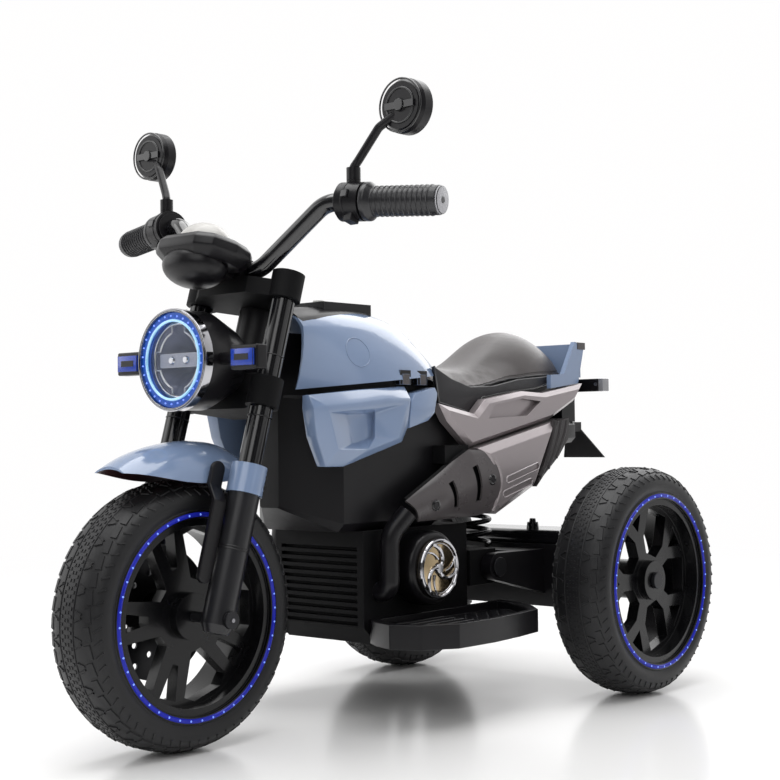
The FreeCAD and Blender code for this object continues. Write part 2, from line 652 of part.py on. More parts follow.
POD_SHARES = ((0, 0.84), (0.3, 0.93), (0.62, 1), (0.86, 1), (1, 0.94))
DOME_SHARES = ((0, 1), (0.55, 0.9), (0.9, 0.6), (1, 0.35))
pod_top = s.clamp_top + s.pod_rise
pod = loft([oval(s.pod_half_width * share, s.pod_half_depth * share, s.clamp_top + s.pod_rise * rise_share)
            for rise_share, share in POD_SHARES], True)
dome = loft([oval(s.dome_half_width * share, s.dome_half_depth * share, pod_top + s.dome_rise * rise_share)
             for rise_share, share in DOME_SHARES])
solid_node("gauge_pod", pod).Placement = FORK
solid_node("gauge_dome", dome).Placement = FORK


# Mirrors: a foot and stalk on each switch housing, a round shell and a glass
MIRROR_BACK_SHARE = 0.85


def make_mirror(hand, sign):
    """Build one mirror: a bent stalk on an upright foot, a shell facing the rider and its glass."""
    along = (BAR_END - BAR_SHOULDER).normalize()
    root = FORK.multVec(BAR_SHOULDER + along * s.mirror_place)
    boss_height = s.switch_radius + s.mirror_boss
    housing = Part.makeCylinder(s.switch_radius, s.overrun, root - FORK.Rotation.multVec(along) * (s.overrun / 2),
                                FORK.Rotation.multVec(along))
    pedestal = Part.makeCylinder(s.mirror_foot_radius, boss_height, root).cut(housing)
    solid_node(f"mirror_pedestal_{hand}", pedestal if sign > 0 else mirrored(pedestal))
    foot = root + Vector(0, 0, boss_height + s.seat_gap)
    head = foot + Vector(s.mirror_out, s.mirror_back, s.mirror_rise)
    path = rounded_path([
        foot,
        foot + Vector(0, 0, s.mirror_foot_height),
        foot + Vector(s.mirror_knee_out, s.mirror_knee_back, s.mirror_knee_rise),
        foot + Vector(s.mirror_elbow_out, s.mirror_elbow_back, s.mirror_elbow_rise),
        head,
    ], s.mirror_stalk_radius / 2)
    envelope = Part.makeCylinder(s.mirror_radius + s.overrun, s.mirror_depth + s.overrun,
                                 head - Vector(0, s.mirror_depth / 2, 0), Vector(0, 1, 0))
    stalk = pipe(path, s.mirror_stalk_radius).cut(envelope)
    stalk = stalk.fuse(Part.makeCylinder(s.mirror_foot_radius, s.mirror_foot_height, foot))
    solid_node(f"mirror_stalk_{hand}", stalk if sign > 0 else mirrored(stalk))
    shell = new_body(f"mirror_shell_{hand}")
    revolve(shell, [
        ("0", "-mirror_depth / 2"),
        (f"{MIRROR_BACK_SHARE} * mirror_radius", "-mirror_depth / 2"),
        ("mirror_radius", "-mirror_depth / 8"),
        ("mirror_radius", "mirror_depth / 2"),
        ("mirror_radius - mirror_rim", "mirror_depth / 2"),
        ("mirror_radius - mirror_rim", "mirror_depth / 2 - mirror_glass"),
        ("0", "mirror_depth / 2 - mirror_glass"),
    ], "V_Axis")
    glass = new_body(f"mirror_glass_{hand}")
    revolve(glass, rectangle("0", "mirror_depth / 2 - mirror_glass",
                             "mirror_radius - mirror_rim - run_gap", "mirror_depth / 2"), "V_Axis")
    for piece in (shell, glass):
        piece.Placement = Placement(Vector(sign * head.x, head.y, head.z), Rotation())
        keep(piece, piece.Label)


make_mirror("left", 1)
make_mirror("right", -1)

# Headlight: bucket, bezel, light ring, lens and reflector, on ears between the fork tubes
lamp_spot = (0, f"{FRONT_Y_TEXT} - lamp_face_lead", "lamp_height")
lip_front = "(bezel_depth - bezel_lip)"
lens_front = f"({lip_front} - lens_edge)"
LAMP_OUTLINES = {
    "headlight_bezel": [
        ("bezel_bore", "0"),
        ("bezel_radius", "0"),
        ("bezel_radius", "bezel_depth"),
        ("bezel_lip_bore", "bezel_depth"),
        ("bezel_lip_bore", lip_front),
        ("bezel_bore", lip_front),
    ],
    "headlight_ring": rectangle("lamp_ring_inner", f"{lip_front} - lamp_ring_depth", "lamp_ring_outer", lip_front),
    "headlight_lens": [
        ("0", lip_front),
        ("lens_radius", lip_front),
        ("lens_radius", lens_front),
        ("0", f"{lens_front} - lens_rise", "-(lens_radius^2 + lens_rise^2) / (2 * lens_rise)"),
    ],
    "headlight_reflector": [
        ("bezel_lip_bore", "bezel_depth"),
        ("reflector_flange", "bezel_depth"),
        ("reflector_flange", "bezel_depth + reflector_wall"),
        ("bezel_lip_bore + reflector_wall", "bezel_depth + reflector_wall"),
        ("reflector_floor_radius + reflector_wall", "bezel_depth + reflector_depth"),
        ("0", "bezel_depth + reflector_depth"),
        ("0", "bezel_depth + reflector_depth - reflector_wall"),
        ("reflector_floor_radius", "bezel_depth + reflector_depth - reflector_wall"),
    ],
    "headlight_bucket": [
        ("bucket_radius - wall", "bezel_depth"),
        ("bucket_radius", "bezel_depth"),
        ("bucket_radius", "bezel_depth + bucket_straight"),
        ("bucket_back_radius", "bezel_depth + bucket_length"),
        ("0", "bezel_depth + bucket_length"),
        ("0", "bezel_depth + bucket_length - wall"),
        ("bucket_back_radius - wall", "bezel_depth + bucket_length - wall"),
        ("bucket_radius - wall", "bezel_depth + bucket_straight"),
    ],
}
for label, corners in LAMP_OUTLINES.items():
    lamp_piece = new_body(label)
    revolve(lamp_piece, corners, "V_Axis")
    place(keep(lamp_piece, label), *lamp_spot)

LAMP_FACE = FRONT_Y - s.lamp_face_lead
LAMP_BACK = LAMP_FACE + s.bezel_depth + s.bucket_length
ears = box_between(
    Vector(-s.ear_half_length, LAMP_BACK, s.lamp_height - s.ear_half_height),
    Vector(s.ear_half_length, LAMP_BACK + s.ear_depth, s.lamp_height + s.ear_half_height))
upright = FORK.Rotation.multVec(Vector(0, 0, 1))
for sign in (-1, 1):
    tube_foot = FORK.multVec(Vector(sign * s.fork_half_width, 0, s.leg_top))
    ears = ears.cut(Part.makeCylinder(s.tube_radius + s.seat_gap, s.tube_top, tube_foot, upright))
solid_node("headlight_ears", ears)

# Front signals: a stem on the bucket, a rounded case and a lens on its face
signal_y = LAMP_FACE + s.bezel_depth + s.bucket_straight / 2
stem_start = s.bucket_radius + s.seat_gap
case = box_between(
    Vector(s.signal_start, signal_y - s.signal_half_depth, s.lamp_height - s.signal_half_height),
    Vector(s.signal_end, signal_y + s.signal_half_depth, s.lamp_height + s.signal_half_height))
case = case.makeFillet(s.signal_lens_margin / 2, case.Edges)
stem = Part.makeCylinder(s.signal_stem_radius, s.signal_start - stem_start + s.signal_lens_margin,
                         Vector(stem_start, signal_y, s.lamp_height), Vector(1, 0, 0))
twins("front_signals", case.fuse(stem).removeSplitter())
twins("front_signal_lenses", box_between(
    Vector(s.signal_start + s.signal_lens_margin, signal_y - s.signal_half_depth - s.signal_lens,
           s.lamp_height - s.signal_half_height + s.signal_lens_margin),
    Vector(s.signal_end - s.signal_lens_margin, signal_y - s.signal_half_depth,
           s.lamp_height + s.signal_half_height - s.signal_lens_margin)))

# Front fender: a thin arch lofted along the wheel, with a brace on each side
# Each row is a share of the length, the half width, the crown's drop and the edge's drop
FENDER_SHARES = ((0, 0.53, 0.565, 0.72), (0.22, 0.89, 0.217, 0.83), (0.56, 1, 0, 1), (0.86, 1, 0.065, 0.94),
                 (1, 0.9, 0.26, 0.85))


def fender_arch(along_share, width_share, crown_share, edge_share, inset, sink):
    """Make one arched section, set in by the wall and with its edge sunk for the inner cut."""
    along = FRONT_Y - s.fender_lead + s.fender_length * along_share
    crown = s.wheel_radius + s.fender_crown
    edge = crown - s.fender_depth * edge_share
    half = s.fender_half_width * width_share - inset
    left = Vector(half, along, edge)
    right = Vector(-half, along, edge)
    arch = Part.Arc(left, Vector(0, along, crown - s.fender_depth * crown_share - inset), right).toShape()
    drop = Vector(0, 0, -sink)
    if not sink:
        return Part.Wire([arch, Part.makeLine(right, left)])
    sides = [Part.makeLine(right, right + drop), Part.makeLine(right + drop, left + drop),
             Part.makeLine(left + drop, left)]
    return Part.Wire([arch] + sides)


fender = loft([fender_arch(*row, 0, 0) for row in FENDER_SHARES])
fender = fender.cut(loft([fender_arch(*row, s.wall, s.overrun) for row in FENDER_SHARES]))
solid_node("fender_arch", fender)
brace_inner = s.fender_half_width + s.brace_gap
brace_rear = -s.collar_radius - s.seat_gap


def brace_section(inner, up):
    """Make one section of a brace: a flat bar ahead of the leg, at some height along the fork."""
    outer = inner + s.brace_thickness
    front = brace_rear - s.brace_width
    corners = ((inner, brace_rear), (outer, brace_rear), (outer, front), (inner, front))
    return polygon([FORK.multVec(Vector(across, along, up)) for across, along in corners])


brace = loft([brace_section(brace_inner, s.brace_top), brace_section(brace_inner, s.brace_knee),
              brace_section(s.brace_out, s.brace_elbow), brace_section(s.brace_out, s.brace_foot)], True)
for inner, up in ((brace_inner, s.brace_top), (s.brace_out, s.brace_foot)):
    middle = FORK.multVec(Vector(inner, brace_rear - s.brace_width / 2, up))
    brace = brace.fuse(Part.makeCylinder(s.brace_width / 2, s.brace_thickness, middle, Vector(1, 0, 0)))
twins("fender_braces", brace.removeSplitter())

# Body halves: a hollow hull with a spine under the tank, a neck round the stem and a riser at the tail
# Each row is the place, half width, base and top of one section
HULL_ROWS = (
    (s.hull_front, s.hull_nose, s.hull_nose_base, s.hull_top),
    (s.hull_full, s.hull_half_width, s.hull_base, s.hull_top),
    (s.hull_waist, s.hull_half_width, s.hull_base, s.hull_top),
    (s.hull_beam, s.hull_beam_half_width, s.hull_beam_base, s.hull_beam_top),
    (s.hull_tail, s.hull_beam_half_width, s.hull_beam_base, s.hull_beam_top),
    (s.hull_end, s.hull_end_half_width, s.hull_beam_base + s.wall, s.hull_beam_top),
)
HULL_CHAMFER_SHARE = 0.14


def hull_section(along, half_width, base, top, inset, middle):
    """Make one half section of the hull, set in by the wall and reaching to the middle."""
    chamfer = half_width * HULL_CHAMFER_SHARE
    side = half_width - inset
    low = base + inset
    high = top - inset
    corners = ((middle, low), (side - chamfer, low), (side, low + chamfer), (side, high - chamfer),
               (side - chamfer, high), (middle, high))
    return polygon([Vector(across, BODY_Y + along, up) for across, up in corners])


def hull_cavity_rows():
    """Shorten the hull's rows by the wall at both ends."""
    rows = [list(row) for row in HULL_ROWS]
    rows[0][0] += s.wall
    rows[-1][0] -= s.wall
    return rows


def steering_cylinder(radius, low, high):
    """Make a cylinder round the steering axis between two heights in the fork's frame."""
    return Part.makeCylinder(radius, high - low, FORK.multVec(Vector(0, s.stem_setback, low)), upright)


def make_body_half():
    """Build the left half of the body."""
    outside = loft([hull_section(*row, 0, 0) for row in HULL_ROWS], True)
    cavity = loft([hull_section(*row, s.wall, -s.overrun) for row in hull_cavity_rows()], True)
    neck_base = s.lower_yoke_base + s.yoke_plate + s.neck_cover_gap
    neck_top = s.upper_yoke_base - s.neck_cover_gap
    neck = steering_cylinder(s.neck_cover_radius, neck_base, neck_top)
    left_half = box_between(Vector(0, FRONT_Y, 0), Vector(s.neck_cover_radius, BODY_Y, s.spine_top + s.tank_height))
    spine = box_between(Vector(0, BODY_Y + s.spine_front, s.hull_top - s.wall),
                        Vector(s.spine_half_width, BODY_Y + s.spine_rear, s.spine_top))
    riser = box_between(Vector(0, BODY_Y + s.riser_front, s.hull_beam_top - s.wall),
                        Vector(s.hull_end_half_width, BODY_Y + s.hull_end, s.riser_top))
    half = outside.cut(cavity).fuse([neck.common(left_half), spine, riser]).removeSplitter()
    return half.cut(steering_cylinder(s.neck_radius + s.run_gap, s.lower_yoke_base, s.yoke_cap_top))


both_sides("body_half", make_body_half())
hull_floor = s.hull_base + s.wall
solid_node("battery", box_between(
    Vector(-s.battery_half_width, BODY_Y + s.battery_front, hull_floor),
    Vector(s.battery_half_width, BODY_Y + s.battery_front + s.battery_length, hull_floor + s.battery_height)))
solid_node("control_box", box_between(
    Vector(-s.control_half_width, BODY_Y + s.control_front, hull_floor),
    Vector(s.control_half_width, BODY_Y + s.control_front + s.control_length, hull_floor + s.control_height)))

# Tank cover: an open shell lofted through rounded sections, its nose cut parallel to the fork
# Each row is a share of the length, base half width, shoulder half width, shoulder height and top height
TANK_SHARES = (
    (0, 0.64, 0.52, 0.705, 0.84),
    (0.237, 0.84, 0.64, 0.733, 0.97),
    (0.417, 0.955, 0.705, 0.733, 1),
    (0.633, 1, 0.705, 0.69, 0.98),
    (0.777, 0.955, 0.66, 0.62, 0.895),
    (0.903, 0.84, 0.55, 0.5, 0.72),
    (1, 0.66, 0.36, 0.34, 0.43),
)
TANK_BULGE_SHARE = 0.05


def tank_section(along_share, base_share, shoulder_share, shoulder_rise_share, top_share, inset, sink, shift):
    """Make one section of the tank: bulged sides and a rounded crown over a flat base."""
    along = BODY_Y + s.tank_front + s.tank_length * along_share + shift
    base = s.tank_base + s.tank_base_rise * along_share
    half = s.tank_half_width * base_share - inset
    shoulder = s.tank_half_width * shoulder_share - inset
    shoulder_height = s.tank_base + s.tank_height * shoulder_rise_share - inset
    bulge = (half + shoulder) / 2 + s.tank_half_width * TANK_BULGE_SHARE
    low_left = Vector(half, along, base - sink)
    low_right = right_hand(low_left)
    high_left = Vector(shoulder, along, shoulder_height)
    high_right = right_hand(high_left)
    bulge_left = Vector(bulge, along, (base - sink + shoulder_height) / 2)
    crown = Vector(0, along, s.tank_base + s.tank_height * top_share - inset)
    return Part.Wire([
        Part.makeLine(low_right, low_left),
        Part.Arc(low_left, bulge_left, high_left).toShape(),
        Part.Arc(high_left, crown, high_right).toShape(),
        Part.Arc(high_right, right_hand(bulge_left), low_right).toShape(),
    ])


def tank_cavity():
    """Loft the hollow of the tank, open at its nose and base."""
    shifts = [-s.overrun] + [0] * (len(TANK_SHARES) - 2) + [-s.wall]
    return loft([tank_section(*row, s.wall, s.wall, shift) for row, shift in zip(TANK_SHARES, shifts)])


def panel_block(margin, base, top):
    """Make the control panel's block with a margin round it."""
    front = BODY_Y + s.panel_front
    return box_between(Vector(-s.panel_half_width - margin, front - margin, base),
                       Vector(s.panel_half_width + margin, front + s.panel_length + margin, top))


def make_tank():
    """Build the tank cover with the two ribs that rest on the spine."""
    outside = loft([tank_section(*row, 0, 0, 0) for row in TANK_SHARES])
    shell = outside.cut(tank_cavity())
    for rib_place in (s.tank_front_rib, s.tank_rear_rib):
        rib = box_between(Vector(-s.tank_half_width, BODY_Y + rib_place, s.spine_top),
                          Vector(s.tank_half_width, BODY_Y + rib_place + s.tank_rib, s.spine_top + s.tank_height))
        shell = shell.fuse(rib.common(outside))
    nose = box_between(Vector(-s.tank_length, -s.tank_length, 0),
                       Vector(s.tank_length, s.tank_nose_offset, s.spine_top + s.tank_height))
    nose.Placement = FORK
    opening = panel_block(s.seat_gap, s.spine_top, s.panel_top + s.overrun)
    return shell.cut(nose).cut(opening).removeSplitter()


solid_node("tank_cover", make_tank())

# Control panel with a push button and a rocker that tilts on its pin
PANEL_FRONT = BODY_Y + s.panel_front
button_foot = Vector(0, PANEL_FRONT + s.button_place, s.panel_top - s.button_pocket)
rocker_y = PANEL_FRONT + s.rocker_place
rocker_z = s.panel_top - s.rocker_pin_drop
slot_half = s.rocker_half_length + s.rocker_slot_margin
pin_half = s.rocker_half_width + s.rocker_pin_reach


def rocker_pin(radius, half):
    """Make the rocker's cross pin, or the bore for it."""
    return Part.makeCylinder(radius, 2 * half, Vector(-half, rocker_y, rocker_z), Vector(1, 0, 0))


panel = panel_block(0, s.spine_top, s.panel_top)
panel = panel.cut(Part.makeCylinder(s.button_radius + s.run_gap, s.button_pocket + s.overrun, button_foot))
panel = panel.cut(box_between(
    Vector(-s.rocker_half_width - s.seat_gap, rocker_y - slot_half, rocker_z - s.rocker_depth - s.rocker_slot_margin),
    Vector(s.rocker_half_width + s.seat_gap, rocker_y + slot_half, s.panel_top + s.overrun)))
solid_node("control_panel", panel.cut(rocker_pin(s.rocker_pin + s.run_gap, pin_half + s.seat_gap)))
solid_node("power_button", Part.makeCylinder(
    s.button_radius, s.button_height, button_foot + Vector(0, 0, s.button_travel + s.seat_gap)))
ROCKER_SHARES = ((-1, 0), (-1, 1), (0, 0.4), (1, 1), (1, 0), (0.7, -1), (-0.7, -1))
rocker = prism([
    Vector(-s.rocker_half_width, rocker_y + along * s.rocker_half_length,
           s.panel_top + up * s.rocker_rise if up > 0 else rocker_z + up * s.rocker_depth)
    for along, up in ROCKER_SHARES], Vector(2 * s.rocker_half_width, 0, 0))
solid_node("direction_rocker", rocker.fuse(rocker_pin(s.rocker_pin, pin_half)).removeSplitter())


# Panels on the flanks: flat outlines pushed sideways, bevelled at the outside
def side_outline(shares, front, length, base, height, across):
    """Place an outline of (along, up) shares on an upright plane."""
    return [Vector(across, BODY_Y + front + length * along, base + height * up) for along, up in shares]


def bevelled(points, thickness, bevel):
    """Push an outline outward and bevel the edges of its outer face."""
    block = prism(points, Vector(thickness, 0, 0))
    outer = max(block.Faces, key=lambda face: face.CenterOfMass.x)
    return block.makeChamfer(bevel, outer.Edges)


def boss(along, up, inner, outer):
    """Make a mounting boss that reaches sideways."""
    return Part.makeCylinder(s.boss_radius, outer - inner, Vector(inner, BODY_Y + along, up), Vector(1, 0, 0))


SIDE_SHARES = ((0.014, 0.714), (0.12, 0), (0.73, 0.265), (0.86, 0.43), (0.97, 0.56), (1, 1), (0.037, 0.888))
SIDE_RECESS_SHARES = ((0.17, 0.8), (0.27, 0.28), (0.8, 0.46), (0.86, 0.88))
SIDE_CAVITY_SHARES = ((0.1, 0.72), (0.17, 0.12), (0.7, 0.36), (0.9, 0.6), (0.94, 0.9), (0.1, 0.82))
SIDE_FRAME = (s.side_front, s.side_length, s.side_top - s.side_height, s.side_height)


def make_side_panel():
    """Build the left blue flank panel: a bevelled shell with a recess in its face."""
    shell = bevelled(side_outline(SIDE_SHARES, *SIDE_FRAME, s.hull_half_width),
                     s.side_outer - s.hull_half_width, s.side_bevel)
    recess = prism(side_outline(SIDE_RECESS_SHARES, *SIDE_FRAME, s.side_outer - s.side_recess),
                   Vector(s.side_recess + s.overrun, 0, 0))
    cavity = prism(side_outline(SIDE_CAVITY_SHARES, *SIDE_FRAME, s.hull_half_width),
                   Vector(s.side_cavity, 0, 0))
    return shell.cut(recess).cut(cavity)


both_sides("side_panel", make_side_panel())

# Engine: a padded case with cooling slots across its front, clutch covers and header pipes
engine = new_body("engine_case")
engine_rear = "(engine_front + engine_length)"
profile = new_sketch(engine, "YZ_Plane", "-engine_half_width")
draw(profile, [
    ("engine_front + engine_chamfer", "engine_base"),
    (f"{engine_rear} - engine_chamfer", "engine_base"),
    (engine_rear, "engine_base + engine_chamfer"),
    (engine_rear, "hull_base"),
    ("engine_front", "hull_base"),
    ("engine_front", "engine_base + engine_chamfer"),
])
pad(engine, profile, "2 * engine_half_width")
slots = new_sketch(engine, "XZ_Plane", "-engine_front")
for index in range(FIN_COUNT):
    draw(slots, rectangle(
        "engine_chamfer / 2 - engine_half_width", f"fin_base + {index} * fin_pitch",
        "engine_half_width - engine_chamfer / 2", f"fin_base + {index} * fin_pitch + fin_gap"))
pocket(engine, slots, "fin_depth")
place(keep(engine, "engine_case"), 0, BODY_Y_TEXT, 0)

drums = []
discs = []
DISH_RIM_SHARE = 0.8
for hand, sign, turn in (("left", 1, 0), ("right", -1, 180)):
    clutch_spot = (f"{sign} * engine_half_width", f"{BODY_Y_TEXT} + clutch_place", "clutch_height")
    drum = new_body(f"clutch_drum_{hand}")
    revolve(drum, [
        ("0", "0"),
        ("drum_depth", "0"),
        ("drum_depth", "drum_radius - drum_round"),
        ("drum_depth - drum_round", "drum_radius", "drum_round"),
        ("0", "drum_radius"),
    ])
    drums.append(place(drum, *clutch_spot, turn=turn))
    disc = new_body(f"clutch_disc_{hand}")
    revolve(disc, [
        ("drum_depth", "0"),
        ("drum_depth + clutch_disc_depth - clutch_dish", "0"),
        ("drum_depth + clutch_disc_depth", f"{DISH_RIM_SHARE} * clutch_disc_radius"),
        ("drum_depth + clutch_disc_depth / 2", "clutch_disc_radius"),
        ("drum_depth", "clutch_disc_radius"),
    ])
    discs.append(place(disc, *clutch_spot, turn=turn))
compound("clutch_covers", drums)
compound("clutch_discs", discs)
SHIELD_LEAD_SHARE = 0.232
header_end = BODY_Y + s.tail_front - s.tail_length * SHIELD_LEAD_SHARE - s.header_gap
twins("header_pipes", pipe(rounded_path([
    Vector(s.engine_half_width, BODY_Y + s.header_place, s.header_base),
    Vector(s.header_out, BODY_Y + s.header_place, s.header_base),
    Vector(s.header_out, BODY_Y + s.header_place, s.header_knee),
    Vector(s.header_end_out, header_end, s.header_end_height),
], s.header_bend), s.header_radius))

# Footboards: padded trays with a rim and ribs, the right one with lugs for the accelerator pedal
# Each corner is a share of the width out from the engine and a share of the length
BOARD_SHARES = ((0, 0.094), (0.21, 0.035), (0.47, 0), (0.77, 0.06), (0.98, 0.195), (1, 0.425), (0.95, 0.634),
                (0.88, 0.8), (0.64, 0.895), (0.3, 0.98), (0, 1))
BOARD_WELL_SHARES = ((0.06, 0.13), (0.24, 0.075), (0.47, 0.045), (0.73, 0.1), (0.91, 0.215), (0.93, 0.425),
                     (0.88, 0.62), (0.81, 0.765), (0.59, 0.85), (0.27, 0.93), (0.06, 0.945))


def board_outline(shares, sign):
    """Write a footboard outline as expressions."""
    return [(f"{sign} * (engine_half_width + {across} * (board_outer - engine_half_width))",
             f"board_front + {along} * board_length") for across, along in shares]


def make_footboard(hand, sign, rib_start, rib_length):
    """Pad one footboard, sink its well and raise its ribs."""
    piece = new_body(f"footboard_{hand}")
    outline = new_sketch(piece, "XY_Plane", "board_base")
    draw(outline, board_outline(BOARD_SHARES, sign))
    pad(piece, outline, "board_top - board_base")
    well = new_sketch(piece, "XY_Plane", "board_top")
    draw(well, board_outline(BOARD_WELL_SHARES, sign))
    pocket(piece, well, "board_top - board_floor")
    ribs = new_sketch(piece, "XY_Plane", "board_floor")
    for index in range(RIB_COUNT):
        middle = f"{sign} * (engine_half_width + rib_inset + {index} * rib_pitch)"
        draw(ribs, rectangle(f"{middle} - rib_width / 2", rib_start, f"{middle} + rib_width / 2",
                             f"{rib_start} + {rib_length}"))
    pad(piece, ribs, "rib_height")
    return piece


def add_pedal_lugs(piece):
    """Raise two lugs in the right footboard's well and bore them for the pedal's pin."""
    lugs = new_sketch(piece, "XY_Plane", "board_floor")
    for sign in (-1, 1):
        near = f"{sign} * (pedal_half_width + seat_gap) - pedal_place"
        far = f"{sign} * (pedal_half_width + seat_gap + lug_width) - pedal_place"
        draw(lugs, rectangle(near, "pedal_heel - lug_half_depth", far, "pedal_heel + lug_half_depth"))
    pad(piece, lugs, "pin_height + lug_half_depth")
    bore = new_sketch(piece, "YZ_Plane", "pedal_half_width + 2 * lug_width - pedal_place")
    draw_circle(bore, "pedal_heel", "board_floor + pin_height", "pedal_pin + run_gap")
    pocket(piece, bore, "2 * (pedal_half_width + 2 * lug_width)")


def make_pedal():
    """Pad the accelerator pedal about its pin and lean its toe up."""
    piece = new_body("accelerator_pedal")
    plate = new_sketch(piece, "XY_Plane", "-pedal_thickness / 2")
    draw(plate, rectangle("-pedal_half_width", "-pedal_length", "pedal_half_width", "pedal_pin"))
    pad(piece, plate, "pedal_thickness")
    reach = "(pedal_half_width + seat_gap + lug_width)"
    pin = new_sketch(piece, "YZ_Plane", f"-{reach}")
    draw_circle(pin, "0", "0", "pedal_pin")
    pad(piece, pin, f"2 * {reach}")
    hinge = Vector(-s.pedal_place, BODY_Y + s.pedal_heel, s.board_floor + s.pin_height)
    piece.Placement = Placement(hinge, Rotation(Vector(1, 0, 0), -s.pedal_lift))
    return keep(piece, "accelerator_pedal")


left_board = make_footboard("left", 1, "rib_start", "rib_length")
right_board = make_footboard("right", -1, "short_rib_start", "short_rib_length")
add_pedal_lugs(right_board)
for board in (left_board, right_board):
    place(keep(board, board.Label), 0, BODY_Y_TEXT, 0)
make_pedal()

# Tail: taupe panels, silencers with dark ends and heat shields, all on bosses
TAIL_FRAME = (s.tail_front, s.tail_length, s.tail_base, s.tail_height)
TAIL_PANEL_SHARES = ((0, 0.826), (0.05, 0.7), (0.186, 0.511), (0.743, 0.713), (0.929, 0.86), (1, 1),
                     (0.697, 0.916), (0.545, 0.927), (0.297, 0.86), (0.226, 0.753))
PANEL_BOSS_SHARES = (0.4, 0.63)
SILENCER_BOSS_SHARES = (0.62, 0.58)
SHIELD_BOSS_SHARES = ((-0.12, 0.13), (-0.03, 0.2))
TAIL_RECESS_SHARES = ((0.3, 0.72), (0.56, 0.74), (0.66, 0.85), (0.53, 0.87), (0.34, 0.82))
SILENCER_SHARES = ((0.198, 0.503), (0.254, 0.275), (0.235, 0.05), (0.31, 0.02), (0.565, 0.205), (0.727, 0.695))
SILENCER_END_SHARES = ((0.727, 0.695), (0.565, 0.205), (0.62, 0.29), (0.73, 0.43), (0.8, 0.56), (0.81, 0.72))
SHIELD_SHARES = ((-SHIELD_LEAD_SHARE, 0.157), (-0.207, 0), (0.164, 0.129), (0.241, 0.258), (0.186, 0.489))
SHIELD_SLOT_SHARES = ((-0.015, 0.175), (0.14, 0.25))
SILENCER_SLOT_SHARES = (((0.36, 0.27), (0.56, 0.36)), ((0.335, 0.165), (0.51, 0.245)))


def tail_outline(shares, across):
    """Place an outline of tail shares on an upright plane."""
    return side_outline(shares, *TAIL_FRAME, across)


def long_slot(start, stop, width, depth):
    """Make a slot with round ends, pushed outward."""
    along = (stop - start).normalize()
    out = Vector(1, 0, 0)
    side = along.cross(out) * (width / 2)
    edges = [
        Part.makeLine(start + side, stop + side),
        Part.Arc(stop + side, stop + along * (width / 2), stop - side).toShape(),
        Part.makeLine(stop - side, start - side),
        Part.Arc(start - side, start - along * (width / 2), start + side).toShape(),
    ]
    return Part.Face(Part.Wire(edges)).extrude(out * depth)


def make_tail_panel():
    """Build the left tail panel with its pocket-like recess."""
    shell = bevelled(tail_outline(TAIL_PANEL_SHARES, s.tail_inner), s.tail_panel_outer - s.tail_inner,
                     s.tail_panel_bevel)
    recess = prism(tail_outline(TAIL_RECESS_SHARES, s.tail_panel_outer - s.tail_recess),
                   Vector(s.tail_recess + s.overrun, 0, 0))
    return shell.cut(recess).fuse(tail_boss(*PANEL_BOSS_SHARES)).removeSplitter()


def tail_boss(along_share, up_share):
    """Make a boss from the body's beam to a tail piece."""
    return boss(s.tail_front + s.tail_length * along_share, s.tail_base + s.tail_height * up_share,
                s.hull_beam_half_width, s.tail_inner)


def make_silencer():
    """Build the left silencer: a deep bevelled body with two long grooves."""
    body = bevelled(tail_outline(SILENCER_SHARES, s.tail_inner), s.silencer_outer - s.tail_inner, s.silencer_bevel)
    floor = s.silencer_outer - s.silencer_slot_depth
    for start_share, stop_share in SILENCER_SLOT_SHARES:
        start, stop = tail_outline((start_share, stop_share), floor)
        body = body.cut(long_slot(start, stop, s.silencer_slot_width, s.silencer_slot_depth + s.overrun))
    return body.fuse(tail_boss(*SILENCER_BOSS_SHARES)).removeSplitter()


def make_heat_shield():
    """Build the left heat shield with two slots and the bosses that carry it."""
    plate = bevelled(tail_outline(SHIELD_SHARES, s.shield_inner), s.shield_outer - s.shield_inner, s.shield_bevel)
    for middle in tail_outline(SHIELD_SLOT_SHARES, s.shield_inner - s.wall):
        half = Vector(0, -s.slot_width, s.slot_length / 2)
        plate = plate.cut(long_slot(middle - half, middle + half, s.slot_width, s.shield_outer))
    carriers = [boss(s.tail_front + s.tail_length * along, s.tail_base + s.tail_height * up,
                     s.hull_half_width, s.shield_inner) for along, up in SHIELD_BOSS_SHARES]
    return plate.fuse(carriers).removeSplitter()


both_sides("tail_panel", make_tail_panel())
twins("silencers", make_silencer())
twins("silencer_ends", prism(tail_outline(SILENCER_END_SHARES, s.tail_inner + s.wall),
                             Vector(s.silencer_outer - s.tail_inner - 2 * s.wall, 0, 0)))
twins("heat_shields", make_heat_shield())

# Seat cushion: crowned over a seam, drawn in below it
# Each row is a share of the length, the seam half width, the seam height and the crown height
SEAT_SHARES = (
    (0, 0.6, 0.1, 0.35),
    (0.14, 0.9, 0.0, 0.33),
    (0.32, 0.97, 0.05, 0.38),
    (0.52, 1, 0.18, 0.78),
    (0.84, 0.98, 0.25, 1),
    (1, 0.7, 0.3, 0.8),
)
SEAT_FOOT_SHARE = 0.82


def seat_section(along_share, width_share, seam_share, crown_share):
    """Make one section of the cushion: a drawn-in skirt under a crowned top."""
    along = s.seat_front + s.seat_length * along_share
    fall = min(1, max(0, (s.hull_beam - along) / (s.hull_beam - s.hull_waist)))
    foot = s.hull_beam_top + fall * (s.hull_top - s.hull_beam_top) - s.wall
    height = s.seat_crown - s.seat_seam
    half = s.seat_half_width * width_share
    low_left = Vector(half * SEAT_FOOT_SHARE, BODY_Y + along, foot)
    seam_left = Vector(half, BODY_Y + along, s.seat_seam + height * seam_share)
    crown = Vector(0, BODY_Y + along, s.seat_seam + height * crown_share)
    return Part.Wire([
        Part.makeLine(right_hand(low_left), low_left),
        Part.makeLine(low_left, seam_left),
        Part.Arc(seam_left, crown, right_hand(seam_left)).toShape(),
        Part.makeLine(right_hand(seam_left), right_hand(low_left)),
    ])


